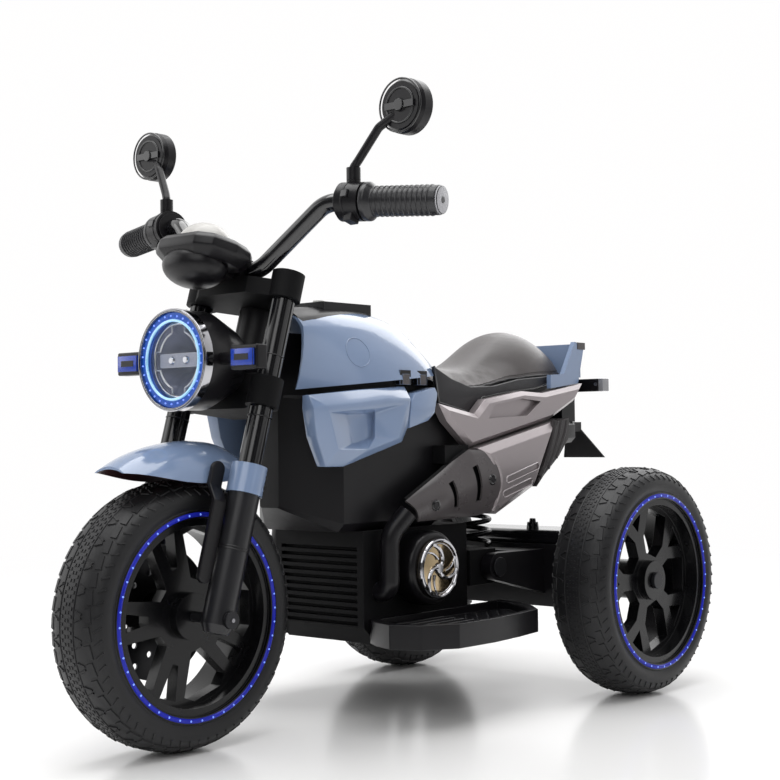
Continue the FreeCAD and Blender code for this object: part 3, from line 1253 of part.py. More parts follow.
seat_bed = prism([
    Vector(-s.tail_inner, BODY_Y + s.hull_waist, s.hull_base),
    Vector(-s.tail_inner, BODY_Y + s.hull_end, s.hull_base),
    Vector(-s.tail_inner, BODY_Y + s.hull_end, s.hull_beam_top),
    Vector(-s.tail_inner, BODY_Y + s.hull_beam, s.hull_beam_top),
    Vector(-s.tail_inner, BODY_Y + s.hull_waist, s.hull_top),
], Vector(2 * s.tail_inner, 0, 0))
solid_node("seat_cushion", loft([seat_section(*row) for row in SEAT_SHARES]).cut(seat_bed))

# Tail cowl: an ear over each tail panel, joined behind the seat on the riser
COWL_EAR_SHARES = ((0, 0), (0.8, 0.12), (1, 0.95), (0.72, 1), (0.38, 0.31), (0, 0.28))
COWL_BACK_SHARES = ((0.87, 0), (1, 0), (1, 0.95), (0.9, 0.97))


def cowl_outline(shares, across):
    """Place an outline of cowl shares on an upright plane."""
    return side_outline(shares, s.cowl_front, s.cowl_length, s.cowl_base, s.cowl_height, across)


ear_inner = s.cowl_outer - s.cowl_thickness
ear = prism(cowl_outline(COWL_EAR_SHARES, ear_inner), Vector(s.cowl_thickness, 0, 0))
cowl_back = prism(cowl_outline(COWL_BACK_SHARES, -ear_inner), Vector(2 * ear_inner, 0, 0))
cowl_back = cowl_back.cut(box_between(Vector(-ear_inner, BODY_Y, s.hull_base),
                                      Vector(ear_inner, BODY_Y + s.hull_end, s.riser_top)))
solid_node("tail_cowl", cowl_back.fuse([ear, mirrored(ear)]).removeSplitter())

# Rear lights and plate bracket on the riser and the body's end
signal_front = BODY_Y + s.rear_signal_front
rear_lens_start = s.rear_signal_end - s.rear_lens_length


def rear_signal(start, stop):
    """Make a length of a rear signal that reaches sideways from the riser."""
    return box_between(Vector(start, signal_front, s.rear_signal_base),
                       Vector(stop, signal_front + s.rear_signal_depth, s.rear_signal_base + s.rear_signal_height))


twins("rear_signals", rear_signal(s.hull_end_half_width, rear_lens_start))
twins("rear_signal_lenses", rear_signal(rear_lens_start, s.rear_signal_end))
for label, start, stop in (("tail_lamp", 0, s.tail_lamp_length - s.tail_lens_length),
                           ("tail_lens", s.tail_lamp_length - s.tail_lens_length, s.tail_lamp_length)):
    solid_node(label, Part.makeCylinder(s.tail_lamp_radius, stop - start, Vector(
        0, BODY_Y + s.hull_end + start, s.tail_lamp_height), Vector(0, 1, 0)))
PLATE_REAR = REAR_Y + s.rear_overhang


def plate_edge(half_width, rear, up):
    """Make one level edge of the plate as a thin rectangle."""
    front = rear - s.plate_thickness
    return polygon([Vector(-half_width, front, up), Vector(half_width, front, up),
                    Vector(half_width, rear, up), Vector(-half_width, rear, up)])


plate = loft([plate_edge(s.plate_half_width, PLATE_REAR, s.plate_base),
              plate_edge(s.plate_top_half_width, PLATE_REAR - s.plate_lean, s.plate_top)], True)
arm = box_between(Vector(-s.plate_top_half_width, BODY_Y + s.hull_end, s.plate_top - s.wall),
                  Vector(s.plate_top_half_width, PLATE_REAR - s.plate_lean, s.plate_top + s.plate_arm_height - s.wall))
solid_node("plate_bracket", plate.fuse(arm).removeSplitter())

# Swing arm: two arms on a pivot pin behind the engine, a bridge for the spring and the axle housing
ENGINE_REAR = BODY_Y + s.engine_front + s.engine_length
PIVOT = Vector(0, BODY_Y + s.pivot_place, s.pivot_height)
HOUSING_FRONT = REAR_Y - s.housing_lead
HOUSING_REAR = REAR_Y + s.housing_trail


def cross_bar(radius, half, middle):
    """Make a round bar across the bike."""
    return Part.makeCylinder(radius, 2 * half, middle - Vector(half, 0, 0), Vector(1, 0, 0))


bracket = box_between(Vector(-s.bracket_half_width, ENGINE_REAR, s.pivot_height - s.bracket_half_height),
                      Vector(s.bracket_half_width, BODY_Y + s.bracket_rear, s.pivot_height + s.bracket_half_height))
solid_node("pivot_bracket", bracket.cut(cross_bar(s.pivot_radius + s.run_gap, s.arm_outer, PIVOT)))
pin = cross_bar(s.pivot_radius, s.arm_outer + s.seat_gap, PIVOT)
heads = cross_bar(s.axle_head_radius + s.wall, s.arm_outer + s.seat_gap + s.wall, PIVOT).cut(
    cross_bar(s.axle_head_radius + s.wall, s.arm_outer + s.seat_gap, PIVOT))
solid_node("pivot_pin", pin.fuse(heads).removeSplitter())


def make_swing_arm():
    """Build the swing arm with its axle housing."""
    housing = box_between(Vector(-s.housing_half_width, HOUSING_FRONT, s.housing_base),
                          Vector(s.housing_half_width, HOUSING_REAR, s.housing_top))
    bridge = box_between(Vector(-s.arm_outer, BODY_Y + s.bridge_front, s.bridge_top - s.bridge_height),
                         Vector(s.arm_outer, HOUSING_FRONT, s.bridge_top))
    eye = Part.makeCylinder(s.arm_eye, s.arm_outer - s.arm_inner, PIVOT + Vector(s.arm_inner, 0, 0), Vector(1, 0, 0))
    side = prism([
        Vector(s.arm_inner, PIVOT.y, s.pivot_height - s.arm_eye),
        Vector(s.arm_inner, HOUSING_FRONT, s.housing_base + s.arm_eye),
        Vector(s.arm_inner, HOUSING_FRONT, s.bridge_top),
        Vector(s.arm_inner, PIVOT.y, s.pivot_height + s.arm_eye),
    ], Vector(s.arm_outer - s.arm_inner, 0, 0)).fuse(eye)
    arm_shape = housing.fuse([bridge, side, mirrored(side)]).removeSplitter()
    arm_shape = arm_shape.cut(cross_bar(s.pivot_radius + s.run_gap, s.housing_half_width, PIVOT))
    return arm_shape.cut(cross_bar(s.axle_radius + s.run_gap, s.rear_half_track,
                                   Vector(0, REAR_Y, s.wheel_radius)))


solid_node("swing_arm", make_swing_arm())
cover = box_between(Vector(-s.cover_half_width, HOUSING_FRONT + s.cover_margin, s.housing_top),
                    Vector(s.cover_half_width, HOUSING_REAR - s.cover_margin, s.housing_top + s.cover_rise))
crown_face = max(cover.Faces, key=lambda face: face.CenterOfMass.z)
solid_node("housing_cover", cover.makeFillet(s.cover_rise - s.wall, crown_face.Edges))
gearboxes = []
GEARBOX_END_SHARE = 0.6
for hand, turn in (("left", 0), ("right", 180)):
    gearbox = new_body(f"gearbox_{hand}")
    revolve(gearbox, [
        ("housing_half_width", "axle_radius + run_gap"),
        ("gearbox_end", "axle_radius + run_gap"),
        ("gearbox_end", f"{GEARBOX_END_SHARE} * gearbox_radius"),
        ("gearbox_end - 3 * wall", "gearbox_radius"),
        ("housing_half_width", "gearbox_radius"),
    ])
    gearboxes.append(place(gearbox, 0, REAR_Y_TEXT, "wheel_radius", turn=turn))
compound("gearboxes", gearboxes)


# Spring: one unbroken helix between the swing arm's bridge and the body's beam
def biarc(start, stop, start_way, stop_way):
    """Join two points by two arcs that meet smoothly and keep the given directions."""
    span = stop - start
    lean = 1 - start_way.dot(stop_way)
    ways = span.dot(start_way + stop_way)
    reach = (math.sqrt(ways ** 2 + 2 * lean * span.dot(span)) - ways) / (2 * lean)
    meet = (start + start_way * reach + stop - stop_way * reach) / 2
    return [tangent_arc(start, meet, start_way), tangent_arc(stop, meet, stop_way * -1)]


def tangent_arc(start, stop, way):
    """Make the arc that leaves start in a direction and ends at stop."""
    chord = stop - start
    ahead = Vector(chord).normalize()
    rise = (way - ahead * way.dot(ahead)).normalize()
    half_angle = way.getAngle(ahead) / 2
    return Part.Arc(start, (start + stop) / 2 + rise * (chord.Length / 2 * math.tan(half_angle)), stop).toShape()


def make_spring():
    """Sweep the spring's wire and print the least gap between its turns."""
    base = s.bridge_top + s.seat_gap + s.spring_wire
    rise = s.hull_beam_base - s.seat_gap - s.spring_wire - base
    coil = s.spring_radius

    def spot(turns):
        angle = 2 * math.pi * turns
        return Vector(coil * math.cos(angle), BODY_Y + s.spring_place + coil * math.sin(angle),
                      base + rise * turns / SPRING_TURNS)

    def way(turns):
        angle = 2 * math.pi * turns
        return Vector(-coil * math.sin(angle), coil * math.cos(angle),
                      rise / SPRING_TURNS / (2 * math.pi)).normalize()

    quarters = [quarter / 4 for quarter in range(4 * SPRING_TURNS)]
    edges = []
    for turns in quarters:
        edges += biarc(spot(turns), spot(turns + 1 / 4), way(turns), way(turns + 1 / 4))
    path = Part.Wire(Part.__sortEdges__(edges))
    section = Part.Wire(Part.makeCircle(s.spring_wire, spot(0), way(0)))
    wire = path.makePipeShell([section], True, False)
    samples = [step / 24 for step in range(24 * SPRING_TURNS + 1)]
    gaps = [(spot(first) - spot(second)).Length - 2 * s.spring_wire
            for first in samples for second in samples if second - first > 1 / 2]
    print(f"spring: least gap between turns {min(gaps):.2f} mm")
    return wire


solid_node("shock_spring", make_spring())

# Pieces that are fixed together and belong to one sub-assembly share a node
GROUPS = {
    "mirror_body_left": ("mirror_stalk_left", "mirror_shell_left"),
    "mirror_body_right": ("mirror_stalk_right", "mirror_shell_right"),
    "bar_controls": ("switch_housings", "mirror_pedestal_left", "mirror_pedestal_right"),
    "headlight_case": ("headlight_bucket", "headlight_ears"),
    "signal_lamps": ("front_signals", "front_signal_lenses"),
    "front_fender": ("fender_arch", "fork_collars"),
    "upper_yoke_clamp": ("upper_yoke", "handlebar_clamp"),
    "lower_yoke_stem": ("lower_yoke", "steering_stem"),
    "hand_grips": ("grips", "grip_caps"),
    "electrics": ("battery", "control_box"),
    "side_panels": ("side_panel_left", "side_panel_right"),
    "engine_block": ("engine_case", "pivot_bracket"),
    "clutches": ("clutch_covers", "clutch_discs"),
    "exhausts": ("header_pipes", "silencers", "silencer_ends"),
    "tail_panels": ("tail_panel_left", "tail_panel_right"),
    "rear_lamps": ("rear_signals", "tail_lamp"),
    "rear_lenses": ("rear_signal_lenses", "tail_lens"),
    "axle_drive": ("housing_cover", "gearboxes"),
}
for label, members in GROUPS.items():
    pieces = [piece for piece in NODES if piece.Label in members]
    for piece in pieces:
        NODES.remove(piece)
    compound(label, pieces)

DOC.recompute()
os.makedirs("parts", exist_ok=True)
for item in DOC.Objects:
    if "Invalid" in item.State or "Error" in item.State:
        raise RuntimeError(f"{item.Label}: {item.State}")
for piece in NODES:
    if piece.Shape.isNull() or not piece.Shape.isValid():
        raise RuntimeError(f"{piece.Label}: no valid solid")
    piece.Shape.exportStep(f"parts/{piece.Label}.step")
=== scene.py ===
"""Looks of a child's ride-on motorbike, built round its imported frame."""

import json
import logging
import math
from collections.abc import Callable, Iterable, Sequence
from dataclasses import dataclass, field
from enum import Enum

import bmesh
import bpy
import numpy as np
from mathutils import Matrix, Vector
from mathutils.bvhtree import BVHTree

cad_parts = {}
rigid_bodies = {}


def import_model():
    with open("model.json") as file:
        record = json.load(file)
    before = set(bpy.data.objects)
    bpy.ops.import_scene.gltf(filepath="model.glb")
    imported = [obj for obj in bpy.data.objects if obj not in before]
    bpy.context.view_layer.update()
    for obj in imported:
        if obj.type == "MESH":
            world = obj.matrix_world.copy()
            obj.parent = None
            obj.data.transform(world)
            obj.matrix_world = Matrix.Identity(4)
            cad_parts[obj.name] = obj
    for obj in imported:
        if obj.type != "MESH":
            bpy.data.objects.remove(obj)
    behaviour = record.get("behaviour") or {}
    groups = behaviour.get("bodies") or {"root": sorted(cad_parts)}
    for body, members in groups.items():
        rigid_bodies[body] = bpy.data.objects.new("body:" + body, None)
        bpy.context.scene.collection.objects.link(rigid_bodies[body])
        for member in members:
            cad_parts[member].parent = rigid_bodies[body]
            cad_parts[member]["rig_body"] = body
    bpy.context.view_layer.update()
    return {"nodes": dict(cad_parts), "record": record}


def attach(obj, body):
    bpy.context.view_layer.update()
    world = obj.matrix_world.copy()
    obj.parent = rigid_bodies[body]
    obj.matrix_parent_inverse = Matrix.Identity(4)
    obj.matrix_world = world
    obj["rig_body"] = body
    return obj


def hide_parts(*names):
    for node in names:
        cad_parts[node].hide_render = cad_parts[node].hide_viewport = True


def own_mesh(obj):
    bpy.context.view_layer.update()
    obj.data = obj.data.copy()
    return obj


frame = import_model()
LOG = logging.getLogger("motorbike")
MM = 0.001
Work = bmesh.types.BMesh
Piece = bpy.types.Object
Socket = bpy.types.NodeSocket
Rgb = tuple[int, int, int]
Point = tuple[float, float, float]
Line = tuple[tuple[float, float], ...]


def linear(colour: Rgb) -> tuple[float, float, float, float]:
    """Turn screen values from 0 to 255 into a linear colour.

    Args:
        colour: Red, green and blue as seen on a screen.

    Returns:
        The linear colour with full alpha.
    """
    parts = [channel / 255 for channel in colour]
    toned = [p / 12.92 if p <= 0.04045 else ((p + 0.055) / 1.055) ** 2.4 for p in parts]
    return (toned[0], toned[1], toned[2], 1.0)


class NodeSheet:
    """A short way to add and join nodes in one tree."""

    def __init__(self, tree: bpy.types.NodeTree) -> None:
        """Keep the tree to work on."""
        self.tree = tree

    def add(self, kind: str, **settings: object) -> bpy.types.Node:
        """Add a node.

        Args:
            kind: The node's type name.
            settings: Properties to set on it, or sockets by name with spaces as underscores.

        Returns:
            The new node.
        """
        node = self.tree.nodes.new(kind)
        for key, value in settings.items():
            if hasattr(node, key):
                setattr(node, key, value)
            else:
                self.set(node, key.replace("_", " "), value)
        return node

    def set(self, node: bpy.types.Node, socket: str | int, value: object) -> None:
        """Set an input socket, or join another node's output to it."""
        target = node.inputs[socket]
        if isinstance(value, Socket):
            self.tree.links.new(value, target)
        else:
            target.default_value = value

    def math(self, operation: str, *values: object, vector: bool = False) -> Socket:
        """Add a math node.

        Args:
            operation: What it does.
            values: Its inputs in order, as values or as other nodes' outputs.
            vector: True works on vectors.

        Returns:
            Its result.
        """
        node = self.add("ShaderNodeVectorMath" if vector else "ShaderNodeMath", operation=operation)
        for place, value in enumerate(values):
            self.set(node, place, value)
        return node.outputs[0]


def make_group(name: str, inputs: dict[str, tuple[str, object]], outputs: dict[str, str],
               fill: Callable[[NodeSheet, bpy.types.Node, bpy.types.Node], None]) -> bpy.types.NodeTree:
    """Build a shader node group once.

    Args:
        name: The group's name.
        inputs: Socket type and default by input name.
        outputs: Socket type by output name.
        fill: Function that places the nodes between the group's two ends.

    Returns:
        The node group.
    """
    group = bpy.data.node_groups.new(name, "ShaderNodeTree")
    for label, (kind, default) in inputs.items():
        socket = group.interface.new_socket(label, in_out="INPUT", socket_type=kind)
        socket.default_value = default
    for label, kind in outputs.items():
        group.interface.new_socket(label, in_out="OUTPUT", socket_type=kind)
    fill(NodeSheet(group), group.nodes.new("NodeGroupInput"), group.nodes.new("NodeGroupOutput"))
    return group


def fill_moulded(sheet: NodeSheet, start: bpy.types.Node, end: bpy.types.Node) -> None:
    """Moulded plastic: slow colour drift, handling marks in the gloss and a fine grain."""
    place = sheet.add("ShaderNodeTexCoord").outputs["Object"]
    drift = sheet.add("ShaderNodeTexNoise", Vector=place, Scale=9.0, Detail=3.0).outputs["Fac"]
    marks = sheet.add("ShaderNodeTexNoise", Vector=place, Scale=38.0, Detail=6.0, Roughness=0.65).outputs["Fac"]
    noise = sheet.add("ShaderNodeTexNoise", Vector=place, Scale=start.outputs["Grain Scale"], Detail=2.0)
    grain = noise.outputs["Fac"]
    shade = sheet.math("MULTIPLY_ADD", drift, start.outputs["Drift"], 1.0)
    low = sheet.math("SUBTRACT", shade, sheet.math("MULTIPLY", start.outputs["Drift"], 0.5))
    tint = sheet.add("ShaderNodeVectorMath", operation="SCALE", Vector=start.outputs["Colour"], Scale=low)
    sheet.set(end, "Colour", tint.outputs[0])
    swing = sheet.math("MULTIPLY", sheet.math("SUBTRACT", marks, 0.5), start.outputs["Marks"])
    sheet.set(end, "Roughness", sheet.math("ADD", start.outputs["Roughness"], swing))
    sheet.set(end, "Height", grain)


def fill_edge_wear(sheet: NodeSheet, start: bpy.types.Node, end: bpy.types.Node) -> None:
    """A broken mask along the edges, where handling has polished or paled the surface."""
    place = sheet.add("ShaderNodeTexCoord").outputs["Object"]
    point = sheet.add("ShaderNodeNewGeometry").outputs["Pointiness"]
    edge = sheet.add("ShaderNodeMapRange", Value=point, From_Min=0.52, From_Max=0.62)
    breaks = sheet.add("ShaderNodeTexNoise", Vector=place, Scale=60.0, Detail=4.0).outputs["Fac"]
    torn = sheet.math("MULTIPLY", edge.outputs[0], breaks)
    sheet.set(end, "Mask", sheet.math("MULTIPLY", torn, start.outputs["Amount"]))


def fill_hide(sheet: NodeSheet, start: bpy.types.Node, end: bpy.types.Node) -> None:
    """Synthetic leather: small rounded cells between fine creases."""
    place = sheet.add("ShaderNodeTexCoord").outputs["Object"]
    bent = sheet.add("ShaderNodeTexNoise", Vector=place, Scale=140.0, Detail=2.0).outputs["Color"]
    mixed = sheet.math("MULTIPLY_ADD", bent, (0.004, 0.004, 0.004), place, vector=True)
    cells = sheet.add("ShaderNodeTexVoronoi", feature="DISTANCE_TO_EDGE", Vector=mixed,
                      Scale=start.outputs["Cell Scale"])
    crease = sheet.add("ShaderNodeMapRange", Value=cells.outputs["Distance"], From_Min=0.0, From_Max=0.16)
    sheet.set(end, "Height", crease.outputs[0])
    soft = sheet.add("ShaderNodeTexNoise", Vector=place, Scale=14.0, Detail=3.0).outputs["Fac"]
    sheet.set(end, "Patch", soft)


MOULDED = make_group(
    "Moulded skin",
    {"Colour": ("NodeSocketColor", (0.5, 0.5, 0.5, 1.0)), "Drift": ("NodeSocketFloat", 0.1),
     "Roughness": ("NodeSocketFloat", 0.4), "Marks": ("NodeSocketFloat", 0.1),
     "Grain Scale": ("NodeSocketFloat", 900.0)},
    {"Colour": "NodeSocketColor", "Roughness": "NodeSocketFloat", "Height": "NodeSocketFloat"}, fill_moulded)
EDGE_WEAR = make_group("Edge wear", {"Amount": ("NodeSocketFloat", 0.3)}, {"Mask": "NodeSocketFloat"},
                       fill_edge_wear)
HIDE = make_group("Hide grain", {"Cell Scale": ("NodeSocketFloat", 620.0)},
                  {"Height": "NodeSocketFloat", "Patch": "NodeSocketFloat"}, fill_hide)
COAT_ROUGHNESS = 0.06
GRAIN_DEPTH = 0.0006
EDGE_PALING = 70


@dataclass(frozen=True)
class Finish:
    """One surface finish.

    Attributes:
        name: The material's name.
        colour: Screen colour.
        rough: Middle roughness.
        marks: How far the roughness wanders.
        drift: How far the colour wanders.
        grain: Grain cells per metre.
        bump: Strength of the grain.
        metal: Share of metal.
        coat: Weight of a clear coat.
        wear: Paling along the edges.
        glow: Strength of its own light.
        shine: Specular level under the coat.
        solid: Share of the surface that hides what is behind it.
    """

    name: str
    colour: Rgb
    rough: float = 0.4
    marks: float = 0.12
    drift: float = 0.12
    grain: float = 900.0
    bump: float = 0.05
    metal: float = 0.0
    coat: float = 0.0
    wear: float = 0.0
    glow: float = 0.0
    shine: float = 0.5
    solid: float = 1.0

    def material(self) -> bpy.types.Material:
        """Give the finish's material, made the first time it is asked for."""
        found = bpy.data.materials.get(f"finish_{self.name}")
        return found if found else self.make()

    def make(self) -> bpy.types.Material:
        """Build the material's nodes."""
        made = bpy.data.materials.new(f"finish_{self.name}")
        made.use_nodes = True
        sheet = NodeSheet(made.node_tree)
        shader = made.node_tree.nodes["Principled BSDF"]
        skin = sheet.add("ShaderNodeGroup", node_tree=MOULDED, Colour=linear(self.colour), Drift=self.drift,
                         Roughness=self.rough, Marks=self.marks, Grain_Scale=self.grain)
        colour = skin.outputs["Colour"]
        if self.wear:
            worn = sheet.add("ShaderNodeGroup", node_tree=EDGE_WEAR, Amount=self.wear)
            paler = sheet.add("ShaderNodeMix", data_type="RGBA", Factor=worn.outputs["Mask"])
            sheet.set(paler, 6, colour)
            sheet.set(paler, 7, linear(tuple(min(255, channel + EDGE_PALING) for channel in self.colour)))
            colour = paler.outputs[2]
        dent = sheet.add("ShaderNodeBump", Strength=self.bump, Distance=GRAIN_DEPTH, Height=skin.outputs["Height"])
        values = {"Base Color": colour, "Roughness": skin.outputs["Roughness"], "Metallic": self.metal,
                  "Coat Weight": self.coat, "Coat Roughness": COAT_ROUGHNESS, "Specular IOR Level": self.shine,
                  "Alpha": self.solid, "Normal": dent.outputs[0]}
        if self.glow:
            values.update({"Emission Color": colour, "Emission Strength": self.glow})
        for label, value in values.items():
            sheet.set(shader, label, value)
        return made


@dataclass(frozen=True)
class HideFinish(Finish):
    """A synthetic leather."""

    cells: float = 620.0

    def make(self) -> bpy.types.Material:
        """Build the leather's nodes over the plain finish."""
        made = super().make()
        sheet = NodeSheet(made.node_tree)
        shader = made.node_tree.nodes["Principled BSDF"]
        hide = sheet.add("ShaderNodeGroup", node_tree=HIDE, Cell_Scale=self.cells)
        bump = next(node for node in made.node_tree.nodes if node.type == "BUMP")
        sheet.set(bump, "Height", hide.outputs["Height"])
        wander = sheet.math("MULTIPLY", sheet.math("SUBTRACT", hide.outputs["Patch"], 0.5), self.marks)
        sheet.set(shader, "Roughness", sheet.math("ADD", wander, self.rough))
        return made


class Look(Enum):
    """Every finish on the bike."""

    BLUE = Finish("blue_grey_gloss", (121, 140, 171), 0.17, 0.06, 0.05, 260.0, 0.012, coat=0.7)
    UNDERSIDE = Finish("maroon_underside", (62, 32, 36), 0.5, bump=0.08)
    BLACK = Finish("black_satin_plastic", (17, 16, 19), 0.32, 0.16, 0.25, 1100.0, 0.09, wear=0.05, shine=0.32)
    HULL = Finish("black_moulded_hull", (17, 16, 19), 0.4, 0.16, 0.25, 1500.0, 0.14, wear=0.03, shine=0.28)
    GLOSS = Finish("black_gloss_plastic", (16, 16, 19), 0.16, 0.08, 0.2, 300.0, 0.015, coat=0.5)
    ENAMEL = Finish("black_bar_enamel", (15, 15, 18), 0.14, 0.06, 0.2, 200.0, 0.012, coat=0.8)
    # A darker, duller copy of the black plastic: painted shade for parts that sit in shadow, such as the engine, the
    # yokes and the backing behind the heat shields.
    DEEP = Finish("black_deep_plastic", (11, 11, 13), 0.62, 0.14, 0.25, 1300.0, 0.1, wear=0.02, shine=0.16)
    RIM = Finish("black_rim", (12, 12, 14), 0.26, 0.1, 0.2, 400.0, 0.03, coat=0.1, shine=0.3)
    # Lighter and glossier than the other blacks: partly the legs' own satin dark grey, partly a painted sheen for
    # the broad highlight along them.
    LEG = Finish("black_fork_leg", (27, 27, 30), 0.3, 0.12, 0.2, 1100.0, 0.06, wear=0.05, shine=0.5)
    TYRE = Finish("tyre_rubber", (24, 24, 26), 0.45, 0.16, 0.3, 1500.0, 0.16, shine=0.4)
    GRIP = Finish("grip_rubber", (30, 30, 33), 0.3, 0.12, 0.2, 1700.0, 0.14, shine=0.6)
    TAUPE = Finish("taupe_metallic", (152, 144, 146), 0.3, 0.10, 0.1, 2600.0, 0.04, metal=0.5, coat=0.3, wear=0.05)
    BEAD = Finish("taupe_bead", (186, 180, 182), 0.26, 0.1, 0.06, 2600.0, 0.02, metal=0.4, coat=0.3)
    SHIELD = Finish("shield_grey", (74, 70, 71), 0.28, 0.1, 0.1, 1200.0, 0.05, wear=0.05, shine=0.4)
    DARK_END = Finish("silencer_end_grey", (50, 47, 48), 0.32, 0.14, 0.15, 1200.0, 0.06, wear=0.08, shine=0.4)
    CHROME = Finish("bright_chrome", (186, 186, 190), 0.09, 0.06, 0.04, 300.0, 0.01, metal=1.0)
    GOLD = Finish("gold_plate", (186, 166, 132), 0.13, 0.08, 0.15, 700.0, 0.03, metal=1.0)
    STEEL = Finish("brushed_steel", (150, 150, 155), 0.36, 0.2, 0.1, 1600.0, 0.08, metal=1.0)
    DARK_STEEL = Finish("dark_steel", (40, 40, 43), 0.34, 0.15, 0.1, 1600.0, 0.06, metal=0.6)
    PALE = Finish("off_white_plastic", (222, 222, 218), 0.32, 0.1, 0.04, 900.0, 0.03)
    DOME = Finish("gauge_dome_white", (190, 188, 184), 0.3, 0.1, 0.05, 900.0, 0.03)
    GREY = Finish("light_grey_plastic", (176, 176, 180), 0.4, 0.1, 0.06, 900.0, 0.05)
    LED = Finish("blue_light_strip", (26, 34, 150), 0.2, 0.05, 0.5, 60.0, 0.02, glow=0.25, shine=0.25)
    LAMP_RING = Finish("blue_lamp_ring", (30, 78, 168), 0.2, 0.05, 0.5, 60.0, 0.02, glow=0.25, shine=0.3)
    CYAN = Finish("pale_cyan_light", (150, 212, 248), 0.3, 0.05, 0.1, 400.0, 0.02, glow=0.7)
    DOT = Finish("blue_white_light", (118, 150, 245), 0.3, 0.05, 0.05, 400.0, 0.02, glow=0.6)
    SIGNAL = Finish("blue_signal_lens", (28, 60, 160), 0.16, 0.05, 0.3, 200.0, 0.02, coat=0.4, glow=0.06)
    FROST = Finish("frosted_lamp_bar", (128, 132, 148), 0.3, 0.1, 0.2, 700.0, 0.08, coat=0.3)
    REFLECTOR = Finish("lamp_reflector", (58, 62, 86), 0.3, 0.1, 0.5, 90.0, 0.1, metal=0.3, shine=0.4)
    LENS = Finish("clear_lens", (214, 224, 240), 0.04, 0.02, 0.02, 120.0, 0.006, solid=0.05)
    GLASS = Finish("mirror_glass", (225, 228, 232), 0.03, 0.02, 0.02, 90.0, 0.004, metal=1.0)
    LAMP = Finish("grey_lamp_lens", (138, 138, 142), 0.2, 0.08, 0.06, 500.0, 0.02, coat=0.4)
    SEAT = HideFinish("seat_top_hide", (79, 75, 75), 0.32, 0.16, 0.14, 900.0, 0.22)
    SKIRT = HideFinish("seat_side_hide", (34, 33, 36), 0.38, 0.16, 0.16, 900.0, 0.2, shine=0.4)
    THREAD = Finish("seam_thread", (58, 54, 53), 0.7, 0.1, 0.2, 3000.0, 0.3)

    def material(self) -> bpy.types.Material:
        """Give the finish's material."""
        return self.value.material()


def link_object(name: str, data: bpy.types.ID) -> Piece:
    """Put an object with its data in the scene."""
    made = bpy.data.objects.new(name, data)
    bpy.context.scene.collection.objects.link(made)
    return made


def mesh_object(name: str, mesh: bpy.types.Mesh, looks: Sequence[Look]) -> Piece:
    """Put a mesh in the scene with its finishes.

    Args:
        name: The object's name.
        mesh: Its mesh, already in place.
        looks: One finish per material index.

    Returns:
        The object, at the origin.
    """
    made = link_object(name, mesh)
    if mesh.materials:
        mesh.materials.clear()
    for look in looks:
        mesh.materials.append(look.material())
    return made


def finish_mesh(name: str, work: Work, smooth_deg: float = 35.0) -> bpy.types.Mesh:
    """Turn a work mesh into a smooth-shaded mesh with sharp creases.

    Args:
        name: The mesh's name.
        work: The work mesh, freed here.
        smooth_deg: Creases over this angle stay sharp.

    Returns:
        The mesh.
    """
    mesh = bpy.data.meshes.new(name)
    work.to_mesh(mesh)
    work.free()
    mesh.shade_smooth()
    mesh.set_sharp_from_angle(angle=math.radians(smooth_deg))
    return mesh


def put_on(piece: Piece, body: str, slot: str, *nodes: str) -> Piece:
    """Let a finished piece ride on a body, standing for CAD nodes if any are named.

    Args:
        piece: The finished piece.
        body: The body that it rides on.
        slot: Its finish slot; not used.
        nodes: CAD nodes that it stands for.

    Returns:
        The piece.
    """
    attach(piece, body)
    if nodes:
        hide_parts(*nodes)
    LOG.info("piece %s on %s", piece.name, body)
    return piece


def body_of(node: str) -> str:
    """Name the body that a CAD node belongs to."""
    return frame["nodes"][node]["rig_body"]


def slot_of(node: str) -> str:
    """Name the record's material slot of a CAD node."""
    rows = {row["node"]: row["material_slot"] for row in frame["record"]["subparts"]}
    return rows[node]


def merged(node: str, flatten_deg: float = 0.6) -> Work:
    """Copy a CAD node's mesh with its points joined and its flat faces whole.

    Args:
        node: The CAD node.
        flatten_deg: Faces closer than this angle become one.

    Returns:
        A work mesh.
    """
    work = bmesh.new()
    work.from_mesh(frame["nodes"][node].data)
    bmesh.ops.remove_doubles(work, verts=work.verts, dist=1e-6)
    bmesh.ops.dissolve_limit(work, angle_limit=math.radians(flatten_deg), verts=work.verts, edges=work.edges)
    return work


def soften(work: Work, width: float, over_deg: float = 28.0, segments: int = 2) -> None:
    """Round the hard edges of a work mesh.

    Args:
        work: The work mesh, changed in place.
        width: Width of the round, in metres.
        over_deg: Edges sharper than this are rounded.
        segments: Steps across the round.
    """
    hard = [edge for edge in work.edges
            if len(edge.link_faces) == 2 and edge.calc_face_angle(0) > math.radians(over_deg)]
    bmesh.ops.bevel(work, geom=hard, offset=width, offset_type="OFFSET", segments=segments, profile=0.5,
                    affect="EDGES", clamp_overlap=True)


def round_long(work: Work, width: float, longer: float = 0.03) -> None:
    """Round the long blunt edges of a work mesh more than the rest.

    Args:
        work: The work mesh, changed in place.
        width: Width of the round, in metres.
        longer: Only edges longer than this are rounded, in metres.
    """
    blunt = [edge for edge in work.edges if len(edge.link_faces) == 2 and edge.calc_length() > longer
             and math.radians(24) < edge.calc_face_angle(0) < math.radians(66)]
    bmesh.ops.bevel(work, geom=blunt, offset=width, offset_type="OFFSET", segments=4, profile=0.5, affect="EDGES",
                    clamp_overlap=True)


def bridge(work: Work, here: Sequence[bmesh.types.BMVert], after: Sequence[bmesh.types.BMVert],
           index: int = 0, closed: bool = True) -> None:
    """Join two rows of points with faces.

    Args:
        work: The work mesh to add to.
        here: The first row.
        after: The second row, as long as the first.
        index: The faces' material index.
        closed: True joins the rows' ends too.
    """
    count = len(here)
    for step in range(count if closed else count - 1):
        near = (step + 1) % count
        work.faces.new((here[step], here[near], after[near], after[step])).material_index = index


def paint(work: Work, rule: Callable[[bmesh.types.BMFace], bool]) -> None:
    """Give the faces for which a rule holds the second finish, and the rest the first."""
    for face in work.faces:
        face.material_index = int(rule(face))


